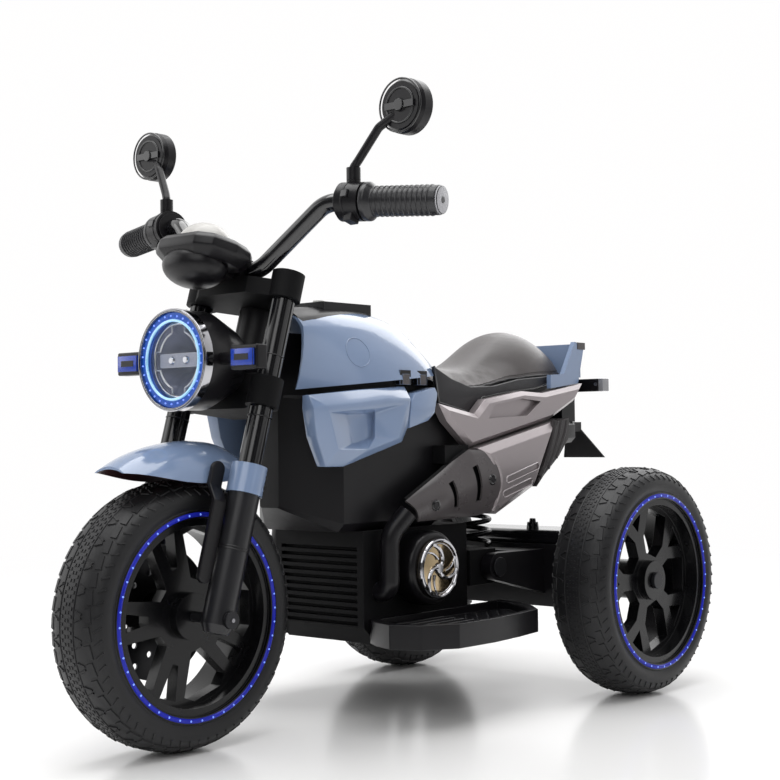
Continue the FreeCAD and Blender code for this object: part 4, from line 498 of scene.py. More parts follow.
def revolved(profile: Sequence[tuple[float, float]], steps: int, centre: Point) -> Work:
    """Turn a profile about an axis along X.

    Args:
        profile: Points as (across, radius), in metres.
        steps: Steps round the axis.
        centre: A point of the axis.

    Returns:
        A work mesh.
    """
    work = bmesh.new()
    rings = []
    for step in range(steps):
        angle = 2 * math.pi * step / steps
        rings.append([work.verts.new((centre[0] + across, centre[1] - radius * math.sin(angle),
                                      centre[2] + radius * math.cos(angle))) for across, radius in profile])
    for step in range(steps):
        bridge(work, rings[step], rings[(step + 1) % steps], closed=False)
    bmesh.ops.remove_doubles(work, verts=work.verts, dist=1e-7)
    bmesh.ops.recalc_face_normals(work, faces=work.faces)
    return work


def add_mesh(work: Work, mesh: bpy.types.Mesh, index: int = 0) -> None:
    """Add a mesh to a work mesh, with one material index.

    Args:
        work: The work mesh to add to.
        mesh: The mesh.
        index: Its faces' material index.
    """
    before = len(work.faces)
    work.from_mesh(mesh)
    work.faces.ensure_lookup_table()
    for face in work.faces[before:]:
        face.material_index = index


def add_right_hand(work: Work) -> None:
    """Add the right-hand twin of everything in a work mesh."""
    twin = bmesh.ops.duplicate(work, geom=work.verts[:] + work.edges[:] + work.faces[:])["geom"]
    for item in twin:
        if isinstance(item, bmesh.types.BMVert):
            item.co.x = -item.co.x
    bmesh.ops.reverse_faces(work, faces=[item for item in twin if isinstance(item, bmesh.types.BMFace)])


def from_faces(points: dict[str, Point], faces: Iterable[str]) -> Work:
    """Make a work mesh from named corners in millimetres and faces that list them.

    Args:
        points: Named corners in millimetres.
        faces: Each face as the names of its corners.

    Returns:
        The work mesh.
    """
    work = bmesh.new()
    corners = {name: work.verts.new(Vector(place) * MM) for name, place in points.items()}
    for row in faces:
        work.faces.new([corners[name] for name in row.split()])
    bmesh.ops.recalc_face_normals(work, faces=work.faces)
    return work


def walls(first: Sequence[str], second: Sequence[str]) -> list[str]:
    """List the faces between two closed rows of named corners, as from_faces takes them."""
    return [" ".join(corners) for corners in zip(first, (*first[1:], first[0]), (*second[1:], second[0]), second)]


def add_tube(work: Work, path: Sequence[Vector], radius: float, closed: bool = False,
             sides: int = 8, index: int = 0) -> None:
    """Sweep a round bead along a path of points in metres.

    Args:
        work: The work mesh to add to.
        path: Points along the middle of the bead.
        radius: The bead's radius in metres.
        closed: True joins the end to the start.
        sides: Sides of the bead.
        index: Its material index.
    """
    count = len(path)
    side = (path[1] - path[0]).orthogonal().normalized()
    rings = []
    for step in range(count):
        after = path[(step + 1) % count] if closed or step < count - 1 else path[step]
        before = path[step - 1] if closed or step else path[step]
        along = (after - before).normalized()
        side = (side - along * side.dot(along)).normalized()
        up = along.cross(side)
        turns = [2 * math.pi * turn / sides for turn in range(sides)]
        rings.append([work.verts.new(path[step] + (side * math.cos(turn) + up * math.sin(turn)) * radius)
                      for turn in turns])
    for step in range(count if closed else count - 1):
        bridge(work, rings[step], rings[(step + 1) % count], index)
    if not closed:
        for ring in (rings[0][::-1], rings[-1]):
            work.faces.new(ring).material_index = index


def add_drum(work: Work, start: Point, stop: Point, radii: tuple[float, float], sides: int = 32,
             index: int = 0) -> None:
    """Add a round drum between two points in millimetres, with a radius at each end.

    Args:
        work: The work mesh to add to.
        start: Middle of one end in millimetres.
        stop: Middle of the other.
        radii: Radius at each end.
        sides: Sides round it.
        index: Its faces' material index.
    """
    low, high = Vector(start) * MM, Vector(stop) * MM
    turn = (high - low).to_track_quat("Z", "Y").to_matrix().to_4x4()
    made = bmesh.ops.create_cone(work, cap_ends=True, segments=sides, radius1=radii[0] * MM, radius2=radii[1] * MM,
                                 depth=(high - low).length, matrix=Matrix.Translation((low + high) / 2) @ turn)
    for face in {face for vertex in made["verts"] for face in vertex.link_faces}:
        face.material_index = index


def add_block(work: Work, low: Point, high: Point, index: int = 0, turn: Matrix = Matrix()) -> None:
    """Add a block between two corners in millimetres of a turned frame.

    Args:
        work: The work mesh to add to.
        low: Lowest corner in millimetres.
        high: Highest corner.
        index: Its faces' material index.
        turn: The frame that it stands in.
    """
    size = (Vector(high) - Vector(low)) * MM
    middle = Matrix.Translation((Vector(high) + Vector(low)) / 2 * MM)
    made = bmesh.ops.create_cube(work, size=1.0, matrix=turn @ middle @ Matrix.Diagonal((*size, 1.0)))
    for face in {face for vertex in made["verts"] for face in vertex.link_faces}:
        face.material_index = index


def circle_points(centre: Vector, first: Vector, second: Vector, radius: float, steps: int) -> list[Vector]:
    """List points of a circle spanned by two directions."""
    turns = [2 * math.pi * step / steps for step in range(steps)]
    return [centre + (first * math.cos(turn) + second * math.sin(turn)) * radius for turn in turns]


ACROSS: dict[str, tuple[Vector, Vector]] = {
    "X": (Vector((0, 1, 0)), Vector((0, 0, 1))), "Y": (Vector((1, 0, 0)), Vector((0, 0, 1))),
    "Z": (Vector((1, 0, 0)), Vector((0, 1, 0)))}


def round_line(axis: str, centre: Vector, radius: float, steps: int) -> list[Vector]:
    """List points of a circle about an axis of the bike's frame."""
    return circle_points(centre, *ACROSS[axis], radius, steps)


def surface_of(node: str) -> BVHTree:
    """Give a search tree over a CAD node's surface.

    Args:
        node: The CAD node.

    Returns:
        The tree.
    """
    work = merged(node, 0.0)
    found = BVHTree.FromBMesh(work)
    work.free()
    return found


def skin_of(piece: Piece) -> BVHTree:
    """Give a search tree over a finished piece's surface.

    Args:
        piece: The piece.

    Returns:
        The tree.
    """
    mesh = piece.data
    return BVHTree.FromPolygons([vertex.co for vertex in mesh.vertices],
                                [tuple(face.vertices) for face in mesh.polygons])


def show(name: str, work: Work, looks: Sequence[Look], body: str, slot: str, *nodes: str,
         bevel: float = 0.0, smooth_deg: float = 35.0) -> Piece:
    """Finish a work mesh as a piece on a body.

    Args:
        name: The piece's name.
        work: Its work mesh.
        looks: One finish per material index.
        body: The body that it rides on.
        slot: The record's material slot.
        nodes: CAD nodes that it stands for.
        bevel: Width of rounded edges in millimetres.
        smooth_deg: Creases over this angle stay sharp.

    Returns:
        The piece.
    """
    if bevel:
        soften(work, bevel * MM)
    piece = mesh_object(name, finish_mesh(name, work, smooth_deg), looks)
    if bevel:
        piece.modifiers.new("even_shading", "WEIGHTED_NORMAL").keep_sharp = True
    return put_on(piece, body, slot, *nodes)


def show_node(node: str, work: Work, looks: Sequence[Look], bevel: float = 0.0,
              smooth_deg: float = 35.0) -> Piece:
    """Finish a work mesh as the piece that stands for one CAD node, on that node's body.

    Args:
        node: The CAD node.
        work: The piece's work mesh.
        looks: One finish per material index.
        bevel: Width of rounded edges in millimetres.
        smooth_deg: Creases over this angle stay sharp.

    Returns:
        The piece.
    """
    return show(f"{node}_look", work, looks, body_of(node), slot_of(node), node, bevel=bevel, smooth_deg=smooth_deg)


def dress(node: str, look: Look, bevel: float = 0.0) -> Piece:
    """Show a CAD node's own shape in one finish, with edges rounded by some millimetres if asked."""
    return show_node(node, merged(node), [look], bevel)


def islands(work: Work) -> list[list[bmesh.types.BMFace]]:
    """Split a work mesh's faces into connected groups.

    Args:
        work: The work mesh.

    Returns:
        The faces of each part.
    """
    left = set(work.faces)
    groups = []
    while left:
        queue = [left.pop()]
        group = []
        while queue:
            face = queue.pop()
            group.append(face)
            for edge in face.edges:
                for other in edge.link_faces:
                    if other in left:
                        left.remove(other)
                        queue.append(other)
        groups.append(group)
    return groups


class PatternTree:
    """A Geometry Nodes tree with named inputs that repeats one small shape."""

    def __init__(self, name: str, inputs: dict[str, tuple[str, object]]) -> None:
        """Start a tree with an input for the shape and its own sizes."""
        self.tree = bpy.data.node_groups.new(name, "GeometryNodeTree")
        self.sheet = NodeSheet(self.tree)
        face = self.tree.interface
        face.new_socket("Geometry", in_out="INPUT", socket_type="NodeSocketGeometry")
        face.new_socket("Shape", in_out="INPUT", socket_type="NodeSocketObject")
        face.new_socket("Finish", in_out="INPUT", socket_type="NodeSocketMaterial")
        for label, (kind, default) in inputs.items():
            face.new_socket(label, in_out="INPUT", socket_type=kind).default_value = default
        face.new_socket("Geometry", in_out="OUTPUT", socket_type="NodeSocketGeometry")
        self.start = self.tree.nodes.new("NodeGroupInput")
        self.end = self.tree.nodes.new("NodeGroupOutput")

    def close(self, points: Socket, rotation: Socket) -> None:
        """Place the shape on points, make it real and give it its finish.

        Args:
            points: The points' geometry.
            rotation: The turn of each copy.
        """
        sheet = self.sheet
        info = sheet.add("GeometryNodeObjectInfo", Object=self.start.outputs["Shape"])
        copies = sheet.add("GeometryNodeInstanceOnPoints", Points=points, Instance=info.outputs["Geometry"])
        sheet.set(copies, "Rotation", rotation)
        real = sheet.add("GeometryNodeRealizeInstances", Geometry=copies.outputs[0])
        painted = sheet.add("GeometryNodeSetMaterial", Geometry=real.outputs[0])
        sheet.set(painted, "Material", self.start.outputs["Finish"])
        sheet.set(self.end, 0, painted.outputs[0])

    def run(self, carrier: bpy.types.Mesh, shape: Piece, look: Look, **sizes: object) -> bpy.types.Mesh:
        """Evaluate the tree once.

        Args:
            carrier: Mesh that the pattern lies on; it may be empty.
            shape: The small shape to repeat.
            look: Finish of the copies.
            sizes: Values by input name, with spaces as underscores.

        Returns:
            A plain mesh.
        """
        host = link_object("pattern_host", carrier)
        modifier = host.modifiers.new("pattern", "NODES")
        modifier.node_group = self.tree
        values = {"Shape": shape, "Finish": look.material()}
        values.update({key.replace("_", " "): value for key, value in sizes.items()})
        for item in self.tree.interface.items_tree:
            if item.in_out == "INPUT" and item.name in values:
                modifier[item.identifier] = values[item.name]
        graph = bpy.context.evaluated_depsgraph_get()
        mesh = bpy.data.meshes.new_from_object(host.evaluated_get(graph))
        host.modifiers.remove(modifier)
        bpy.data.objects.remove(host)
        return mesh


def make_ring_tree() -> PatternTree:
    """Copies round an axis along X, each with its own up pointing outward.

    Returns:
        The tree.
    """
    pattern = PatternTree("Ring of copies", {
        "Count": ("NodeSocketInt", 12), "Radius": ("NodeSocketFloat", 0.1), "Across": ("NodeSocketFloat", 0.0),
        "Phase": ("NodeSocketFloat", 0.0), "Centre": ("NodeSocketVector", (0.0, 0.0, 0.0))})
    sheet, start = pattern.sheet, pattern.start
    index = sheet.add("GeometryNodeInputIndex").outputs[0]
    turn = sheet.math("DIVIDE", sheet.math("ADD", index, start.outputs["Phase"]), start.outputs["Count"])
    angle = sheet.math("MULTIPLY", turn, 2 * math.pi)
    along = sheet.math("MULTIPLY", sheet.math("SINE", angle), sheet.math("MULTIPLY", start.outputs["Radius"], -1.0))
    up = sheet.math("MULTIPLY", sheet.math("COSINE", angle), start.outputs["Radius"])
    spot = sheet.add("ShaderNodeCombineXYZ", X=start.outputs["Across"], Y=along, Z=up)
    moved = sheet.add("ShaderNodeVectorMath", operation="ADD")
    sheet.set(moved, 0, spot.outputs[0])
    sheet.set(moved, 1, start.outputs["Centre"])
    points = sheet.add("GeometryNodePoints", Count=start.outputs["Count"])
    sheet.set(points, "Position", moved.outputs[0])
    turned = sheet.add("ShaderNodeCombineXYZ", X=angle)
    pattern.close(points.outputs[0], turned.outputs[0])
    return pattern


def make_point_tree() -> PatternTree:
    """Copies on the points of the carrier, each with its own up along the carrier's normal.

    Returns:
        The tree.
    """
    pattern = PatternTree("Copies on points", {})
    sheet = pattern.sheet
    way = sheet.add("GeometryNodeInputNamedAttribute", data_type="FLOAT_VECTOR")
    way.inputs["Name"].default_value = "way"
    aligned = sheet.add("FunctionNodeAlignRotationToVector", axis="Z")
    sheet.set(aligned, "Vector", way.outputs["Attribute"])
    points = sheet.add("GeometryNodeMeshToPoints", Mesh=pattern.start.outputs["Geometry"])
    pattern.close(points.outputs[0], aligned.outputs[0])
    return pattern


RING = make_ring_tree()
ON_POINTS = make_point_tree()


def ring_of(shape: Piece, look: Look, centre: Point, count: int, radius: float, across: float,
            phase: float = 0.0) -> bpy.types.Mesh:
    """Lay copies of a shape round an axis along X.

    Args:
        shape: The small shape.
        look: Its finish.
        centre: A point of the axis in metres.
        count: Number of copies.
        radius: Their distance from the axis in metres.
        across: Their distance along the axis in metres.
        phase: Shift round the axis, as a share of one step.

    Returns:
        The copies' mesh.
    """
    return RING.run(bpy.data.meshes.new("none"), shape, look, Count=count, Radius=radius, Across=across, Phase=phase,
                    Centre=centre)


def shape_object(name: str, work: Work, smooth_deg: float = 35.0) -> Piece:
    """Keep a small shape for a pattern, out of the scene."""
    return bpy.data.objects.new(name, finish_mesh(name, work, smooth_deg))


def block_shape(name: str, size: Point, taper: float) -> Piece:
    """Make a block on the plane z = 0 that narrows toward its top.

    Args:
        name: The shape's name.
        size: Width, length and height in metres.
        taper: How far each side leans in, in metres.

    Returns:
        The shape.
    """
    work = bmesh.new()
    wide, long, high = size[0] / 2, size[1] / 2, size[2]
    low = [work.verts.new((x * wide, y * long, -high)) for x, y in ((-1, -1), (1, -1), (1, 1), (-1, 1))]
    top = [work.verts.new((x * (wide - taper), y * (long - taper), high))
           for x, y in ((-1, -1), (1, -1), (1, 1), (-1, 1))]
    work.faces.new(top)
    for first, second in ((0, 1), (1, 2), (2, 3), (3, 0)):
        work.faces.new((low[first], low[second], top[second], top[first]))
    return shape_object(name, work)


def bars_shape(name: str, size: Point, places: Iterable[Point]) -> Piece:
    """Make a tread block of one or more low bars.

    Args:
        name: The shape's name.
        size: Width across, length along and height of each bar in millimetres.
        places: Middle of each bar in millimetres and its turn in degrees.

    Returns:
        The shape.
    """
    work = bmesh.new()
    for x, y, turn in places:
        bar = block_shape("bar", (size[0] * MM, size[1] * MM, size[2] * MM), 0.6 * MM)
        bar.data.transform(Matrix.Translation((x * MM, y * MM, 0.0)) @ Matrix.Rotation(math.radians(turn), 4, "Z"))
        add_mesh(work, bar.data)
    return shape_object(name, work)


def dot_shape(radius: float) -> Piece:
    """Make a small point of light, with its radius in metres.

    Args:
        radius: Its radius.

    Returns:
        The shape.
    """
    work = bmesh.new()
    bmesh.ops.create_uvsphere(work, u_segments=8, v_segments=5, radius=radius)
    return shape_object("light_dot", work)


def points_mesh(spots: Iterable[tuple[Point, Point]]) -> bpy.types.Mesh:
    """Make loose points in millimetres with a direction each, to carry screws and the like.

    Args:
        spots: Place in millimetres and direction of each point.

    Returns:
        The mesh.
    """
    rows = list(spots)
    mesh = bpy.data.meshes.new("spots")
    mesh.from_pydata([Vector(place) * MM for place, _ in rows], [], [])
    ways = mesh.attributes.new("way", "FLOAT_VECTOR", "POINT")
    ways.data.foreach_set("vector", [value for _, way in rows for value in way])
    return mesh


@dataclass(frozen=True)
class TreadRow:
    """One row of tread blocks, laid round both halves of a tyre.

    Attributes:
        name: The block's name.
        bar: Width across, length along and height of each bar in millimetres.
        bars: Middle of each bar in millimetres and its turn in degrees.
        across: Distance from the tyre's middle in metres.
        count: Blocks round the tyre.
        phase: Shift round the tyre, as a share of one block.
    """

    name: str
    bar: Point
    bars: tuple[Point, ...]
    across: float
    count: int
    phase: float


TREAD: tuple[TreadRow, ...] = (
    TreadRow("fine_knob", (3.4, 4.4, 0.8), ((0.0, 0.0, 0.0),), 0.0024, 112, 0.0),
    TreadRow("fine_knob", (3.4, 4.4, 0.8), ((0.0, 0.0, 0.0),), 0.0071, 112, 0.5),
    TreadRow("chevron", (10.5, 3.0, 1.3), ((0.0, -3.6, 24.0), (0.0, 3.6, -24.0)), 0.0180, 34, 0.0),
    TreadRow("shoulder_block", (8.0, 16.0, 1.0), ((0.0, 0.0, 8.0),), 0.0290, 48, 0.25),
    TreadRow("side_slit", (10.0, 2.6, 0.9), ((0.0, 0.0, 32.0),), 0.0378, 64, 0.0),
)


@dataclass
class Wheel:
    """A wheel: treaded tyre, spoked rim and light rings with their dots. Sizes are in metres.

    Attributes:
        centre: Middle of the wheel.
        tyre: The tyre's node.
        rim: The rim's node.
        ring: The light rings' node.
        faces: Sides that carry a light ring.
        half: Half of the tyre's profile from its bead to its crown, as (across, radius).
        widest: Place of the widest point in that profile.
        steps: Steps round the wheel.
        ridge: Distance of the two ridge lines from the middle, and their radius.
        light: Radius of the light rings, their distance from the middle and the tube's radius.
        dots: Number of light points in a ring, their distance from the middle and their radius.
    """

    centre: Point
    tyre: str
    rim: str
    ring: str
    faces: tuple[int, ...]
    half: Line = ((0.037, 0.1081), (0.0385, 0.113), (0.0405, 0.117), (0.0396, 0.1182), (0.0413, 0.1225),
                  (0.0416, 0.127), (0.0408, 0.1318), (0.0388, 0.1362), (0.0352, 0.1402), (0.0300, 0.1437),
                  (0.0235, 0.1464), (0.0165, 0.1481), (0.0080, 0.1490), (0.0, 0.1492))
    widest: int = 5
    steps: int = 120
    ridge: tuple[float, float] = (0.0112, 0.0009)
    light: Point = (0.1125, 0.0402, 0.0027)
    dots: tuple[int, float, float] = (44, 0.0424, 0.0013)

    def build(self) -> None:
        """Build the wheel's pieces."""
        self.build_tyre()
        dress(self.rim, Look.RIM, 1.2)
        self.build_lights()

    def skin(self, across: float) -> tuple[float, float]:
        """Give the carcass's radius and lean at a distance from its middle.

        Args:
            across: Distance from the middle.

        Returns:
            The radius, and the lean of the surface in radians.
        """
        rows = self.half[:self.widest - 1:-1]
        spread, radii = [row[0] for row in rows], [row[1] for row in rows]
        step = 0.0006
        before, after = np.interp([across - step, across + step], spread, radii)
        return float(np.interp(across, spread, radii)), math.atan2(before - after, 2 * step)

    def circle(self, across: float, radius: float) -> list[Vector]:
        """List points of a circle round the wheel at a distance from its middle."""
        return round_line("X", Vector(self.centre) + Vector((across, 0, 0)), radius, self.steps)

    def stamp(self, work: Work, row: TreadRow) -> None:
        """Lay one row of tread blocks round each half of the tyre.

        Args:
            work: The work mesh to add to.
            row: The row.
        """
        radius, lean = self.skin(row.across)
        shape = bars_shape(row.name, row.bar, row.bars)
        for side in (-1, 1):
            block = bpy.data.objects.new("tread_block", shape.data.copy())
            block.data.transform(Matrix.Diagonal((side, 1.0, 1.0, 1.0)))
            if side < 0:
                block.data.flip_normals()
            block.data.transform(Matrix.Rotation(side * lean, 4, "Y"))
            add_mesh(work, ring_of(block, Look.TYRE, self.centre, row.count, radius, side * row.across,
                                   row.phase * side))

    def build_tyre(self) -> None:
        """Build the carcass, its rows of tread and its two ridge lines."""
        profile = [(-across, radius) for across, radius in self.half] + list(self.half[-2::-1])
        work = revolved(profile + [profile[0]], self.steps, self.centre)
        for row in TREAD:
            self.stamp(work, row)
        ridge, bead = self.ridge
        for across in (-ridge, ridge):
            add_tube(work, self.circle(across, self.skin(ridge)[0]), bead, True, 6)
        show_node(self.tyre, work, [Look.TYRE])

    def build_lights(self) -> None:
        """Show each light ring as a blue tube in a black channel, with a row of dots."""
        work = merged(self.ring)
        soften(work, 0.6 * MM)
        radius, across, bead = self.light
        count, out, size = self.dots
        shape = dot_shape(size)
        for side in self.faces:
            add_tube(work, self.circle(side * across, radius), bead, True, 10, 1)
            add_mesh(work, ring_of(shape, Look.DOT, self.centre, count, radius, side * out), 2)
        show_node(self.ring, work, [Look.RIM, Look.LED, Look.DOT])


HANDS = (("left", 1), ("right", -1))
FRONT_AXLE: Point = (0.0, -0.3345, 0.15)
REAR_AXLE: Point = (0.206, 0.2911, 0.15)
REAR_SIGNAL: Point = (98.0, 368.0, 416.0)
COLLAR_SCREW_DEG, COLLAR_RADIUS, COLLAR_HEIGHT = 40.0, 20.2, 150.0
RAKE = math.radians(16.5)
FORK = Matrix.Translation(FRONT_AXLE) @ Matrix.Rotation(-RAKE, 4, "X")
FORK_WAY = FORK.to_3x3()


def to_bike(spot: Vector) -> Point:
    """Move a point from the fork's frame into the bike's, both in millimetres."""
    return tuple(FORK @ (spot * MM) / MM)


def on_fork(place: Point) -> Vector:
    """Move a point in millimetres of the fork's frame into the bike's frame."""
    return FORK @ (Vector(place) * MM)


def screw_shape(name: str, radius: float, height: float) -> Piece:
    """Make a round screw head with a hexagonal socket, sizes in metres.

    Args:
        name: The shape's name.
        radius: Radius of the head in metres.
        height: Its height in metres.

    Returns:
        The shape.
    """
    work = bmesh.new()
    bmesh.ops.create_cone(work, cap_ends=True, segments=18, radius1=radius, radius2=radius * 0.88, depth=2 * height)
    bmesh.ops.create_cone(work, cap_ends=True, segments=6, radius1=radius * 0.45, radius2=radius * 0.5,
                          depth=height * 0.2, matrix=Matrix.Translation((0.0, 0.0, height)))
    return shape_object(name, work)


@dataclass
class Fasteners:
    """Screws on one body, placed by one tree.

    Attributes:
        body: The body that they ride on.
        spots: Place in millimetres and outward direction of each.
        look: Their finish.
        radius: Radius of the heads in millimetres.
    """

    body: str
    spots: tuple[tuple[Point, Point], ...]
    look: Look
    radius: float = 3.0

    def build(self) -> None:
        """Place the screws."""
        head = screw_shape("screw_head", self.radius * MM, 0.45 * self.radius * MM)
        mesh = ON_POINTS.run(points_mesh(self.spots), head, self.look)
        piece = mesh_object(f"{self.body}_{self.look.name.lower()}_screws", mesh, [self.look])
        put_on(piece, self.body, "axle_steel")


@dataclass
class Fork:
    """Fork with fluted tubes, collars and the front fender. Sizes are in millimetres of the fork's frame.

    Attributes:
        half_width: Distance of a leg from the middle.
        tube_radius: Radius of the tubes.
        flutes: Flutes round a tube.
        flute_depth: Depth of a flute.
        low: Foot of the tubes.
        high: Top of the tubes.
        bands: Height and radius of each thin ring round a leg or tube.
        inside: How far off the middle, in metres, a fender face may lie and still be its underside.
    """

    half_width: float = 70.0
    tube_radius: float = 13.5
    flutes: int = 10
    flute_depth: float = 1.3
    low: float = 139.0
    high: float = 390.0
    bands: Line = ((76.0, 18.0), (79.0, 18.0), (300.0, 13.4), (228.0, 13.4))
    inside: float = 0.049

    def build(self) -> None:
        """Build all of it."""
        self.build_tubes()
        self.build_fender()
        # The legs' lighter black is partly a painted sheen.
        dress("fork_legs", Look.LEG, 1.2)
        dress("fender_braces", Look.BLACK, 1.2)
        # The yokes take the shaded black: painted shade.
        dress("lower_yoke_stem", Look.DEEP, 1.5)
        dress("upper_yoke_clamp", Look.DEEP, 1.5)
        self.build_bands()

    def build_tubes(self) -> None:
        """Build the two tubes with flutes along them."""
        work = bmesh.new()
        steps = 8 * self.flutes
        for sign in (-1, 1):
            rings = []
            for up in (self.low, self.high):
                ring = []
                for step in range(steps):
                    radius = self.tube_radius - (self.flute_depth if step % 8 in (0, 1, 2) else 0.0)
                    turn = 2 * math.pi * step / steps
                    across = sign * self.half_width + radius * math.cos(turn)
                    ring.append(work.verts.new(on_fork((across, radius * math.sin(turn), up))))
                rings.append(ring)
            bridge(work, *rings)
            work.faces.new(rings[0][::-1])
            work.faces.new(rings[1])
        show_node("fork_tubes", work, [Look.GLOSS], smooth_deg=24)

    def build_fender(self) -> None:
        """Show the fender blue outside and maroon beneath."""
        work = merged("front_fender")

        def beneath(face: bmesh.types.BMFace) -> bool:
            """Tell whether a face looks down at the wheel."""
            middle = face.calc_center_median()
            return face.normal.dot(middle - Vector(FRONT_AXLE)) < -0.02 and abs(middle.x) < self.inside

        paint(work, beneath)
        show_node("front_fender", work, [Look.BLUE, Look.UNDERSIDE], 0.7)

    def build_bands(self) -> None:
        """Add the thin ring round each leg and under each yoke sleeve."""
        work = bmesh.new()
        across, ahead = FORK_WAY @ Vector((1, 0, 0)), FORK_WAY @ Vector((0, 1, 0))
        for sign in (-1, 1):
            for up, radius in self.bands:
                middle = on_fork((sign * self.half_width, 0.0, up))
                add_tube(work, circle_points(middle, across, ahead, radius * MM, 40), 0.8 * MM, True, 6)
        show("fork_bands", work, [Look.BLACK], "steering", slot_of("fork_legs"))


@dataclass
class Headlight:
    """Headlight: chrome bezel, ring of light, clear lens and what shows behind it. Sizes are in millimetres.

    Attributes:
        height: Height of the lamp's middle.
        face: Place of its face along the bike.
        inner: Inner radius of the notched ring.
        outer: Radius of its notches.
        depth: Depth of the notched ring behind the face.
        rings: Radius, depth, bead and material index of the light's inner ring and of the black lip.
        dots: Number of light points and the radius of their circle.
        signal: Near and far edge of the slot in a signal's lens.
    """

    height: float = 434.0
    face: float = -338.5
    inner: float = 33.0
    outer: float = 41.0
    depth: float = 11.0
    rings: tuple[tuple[float, float, float, int], ...] = ((44.4, 2, 1.7, 1), (55.4, 0.6, 1.8, 4))
    dots: tuple[int, float] = (30, 49.5)
    signal: tuple[float, float] = (86.0, 108.0)

    def build(self) -> None:
        """Build the lamp and its two signals."""
        dress("headlight_bezel", Look.CHROME, 1.0)
        dress("headlight_ring", Look.LAMP_RING, 0.4)
        dress("headlight_lens", Look.LENS, 0.3)
        dress("headlight_reflector", Look.REFLECTOR)
        dress("headlight_case", Look.BLACK, 1.5)
        self.build_insert()
        self.build_dots()
        self.build_signals()

    def at(self, radius: float, turn: float, depth: float) -> Vector:
        """Give a point of the lamp by radius, angle in degrees and depth behind the face."""
        angle = math.radians(turn)
        return Vector((radius * math.sin(angle), self.face + depth, self.height + radius * math.cos(angle))) * MM

    def build_insert(self) -> None:
        """Add the notched ring, the cross bar and its two bulbs behind the lens."""
        work = bmesh.new()
        path = []
        for quarter in range(4):
            base = 90.0 * quarter
            corners = [(self.outer, base + turn) for turn in (-15, 0, 15)]
            corners += [(self.inner, turn) for turn in np.linspace(base + 19, base + 71, 9)]
            path += [self.at(radius, turn, self.depth) for radius, turn in corners]
        add_tube(work, path, 1.2 * MM, True, 8, 3)
        for radius, depth, bead, index in self.rings:
            add_tube(work, [self.at(radius, turn, depth) for turn in range(0, 360, 6)], bead * MM, True, 8, index)
        y = self.face + 12
        add_block(work, (-self.inner, y, self.height - 8), (self.inner, y + 4, self.height + 8), 2)
        for x in (-12, 12):
            add_drum(work, (x, y, self.height), (x, y - 2.5, self.height), (5, 3.5), 20, 0)
        # The black lip, index 4, is in the shaded black: painted shade.
        show("headlight_insert", work, [Look.CHROME, Look.CYAN, Look.FROST, Look.PALE, Look.DEEP], "steering",
             "chrome_trim", bevel=0.5)

    def build_dots(self) -> None:
        """Add the points of light on the ring."""
        count, radius = self.dots
        mesh = ring_of(dot_shape(1.1 * MM), Look.DOT, (0.0, 0.0, self.height * MM), count, radius * MM,
                       (self.face + 0.2) * MM)
        mesh.transform(Matrix.Rotation(math.pi / 2, 4, "Z"))
        put_on(mesh_object("headlight_dots", mesh, [Look.DOT]), "steering", "light_blue")

    def build_signals(self) -> None:
        """Show the signals with blue lenses round a dark slot."""
        work = merged("signal_lamps")
        paint(work, lambda face: face.calc_center_median().y < -0.3197)
        soften(work, 0.6 * MM)
        for sign in (-1, 1):
            low, high = sorted(sign * edge for edge in self.signal)
            add_block(work, (low, -323.0, self.height - 3.4), (high, -321.0, self.height + 3.4), 0)
        show_node("signal_lamps", work, [Look.BLACK, Look.SIGNAL])


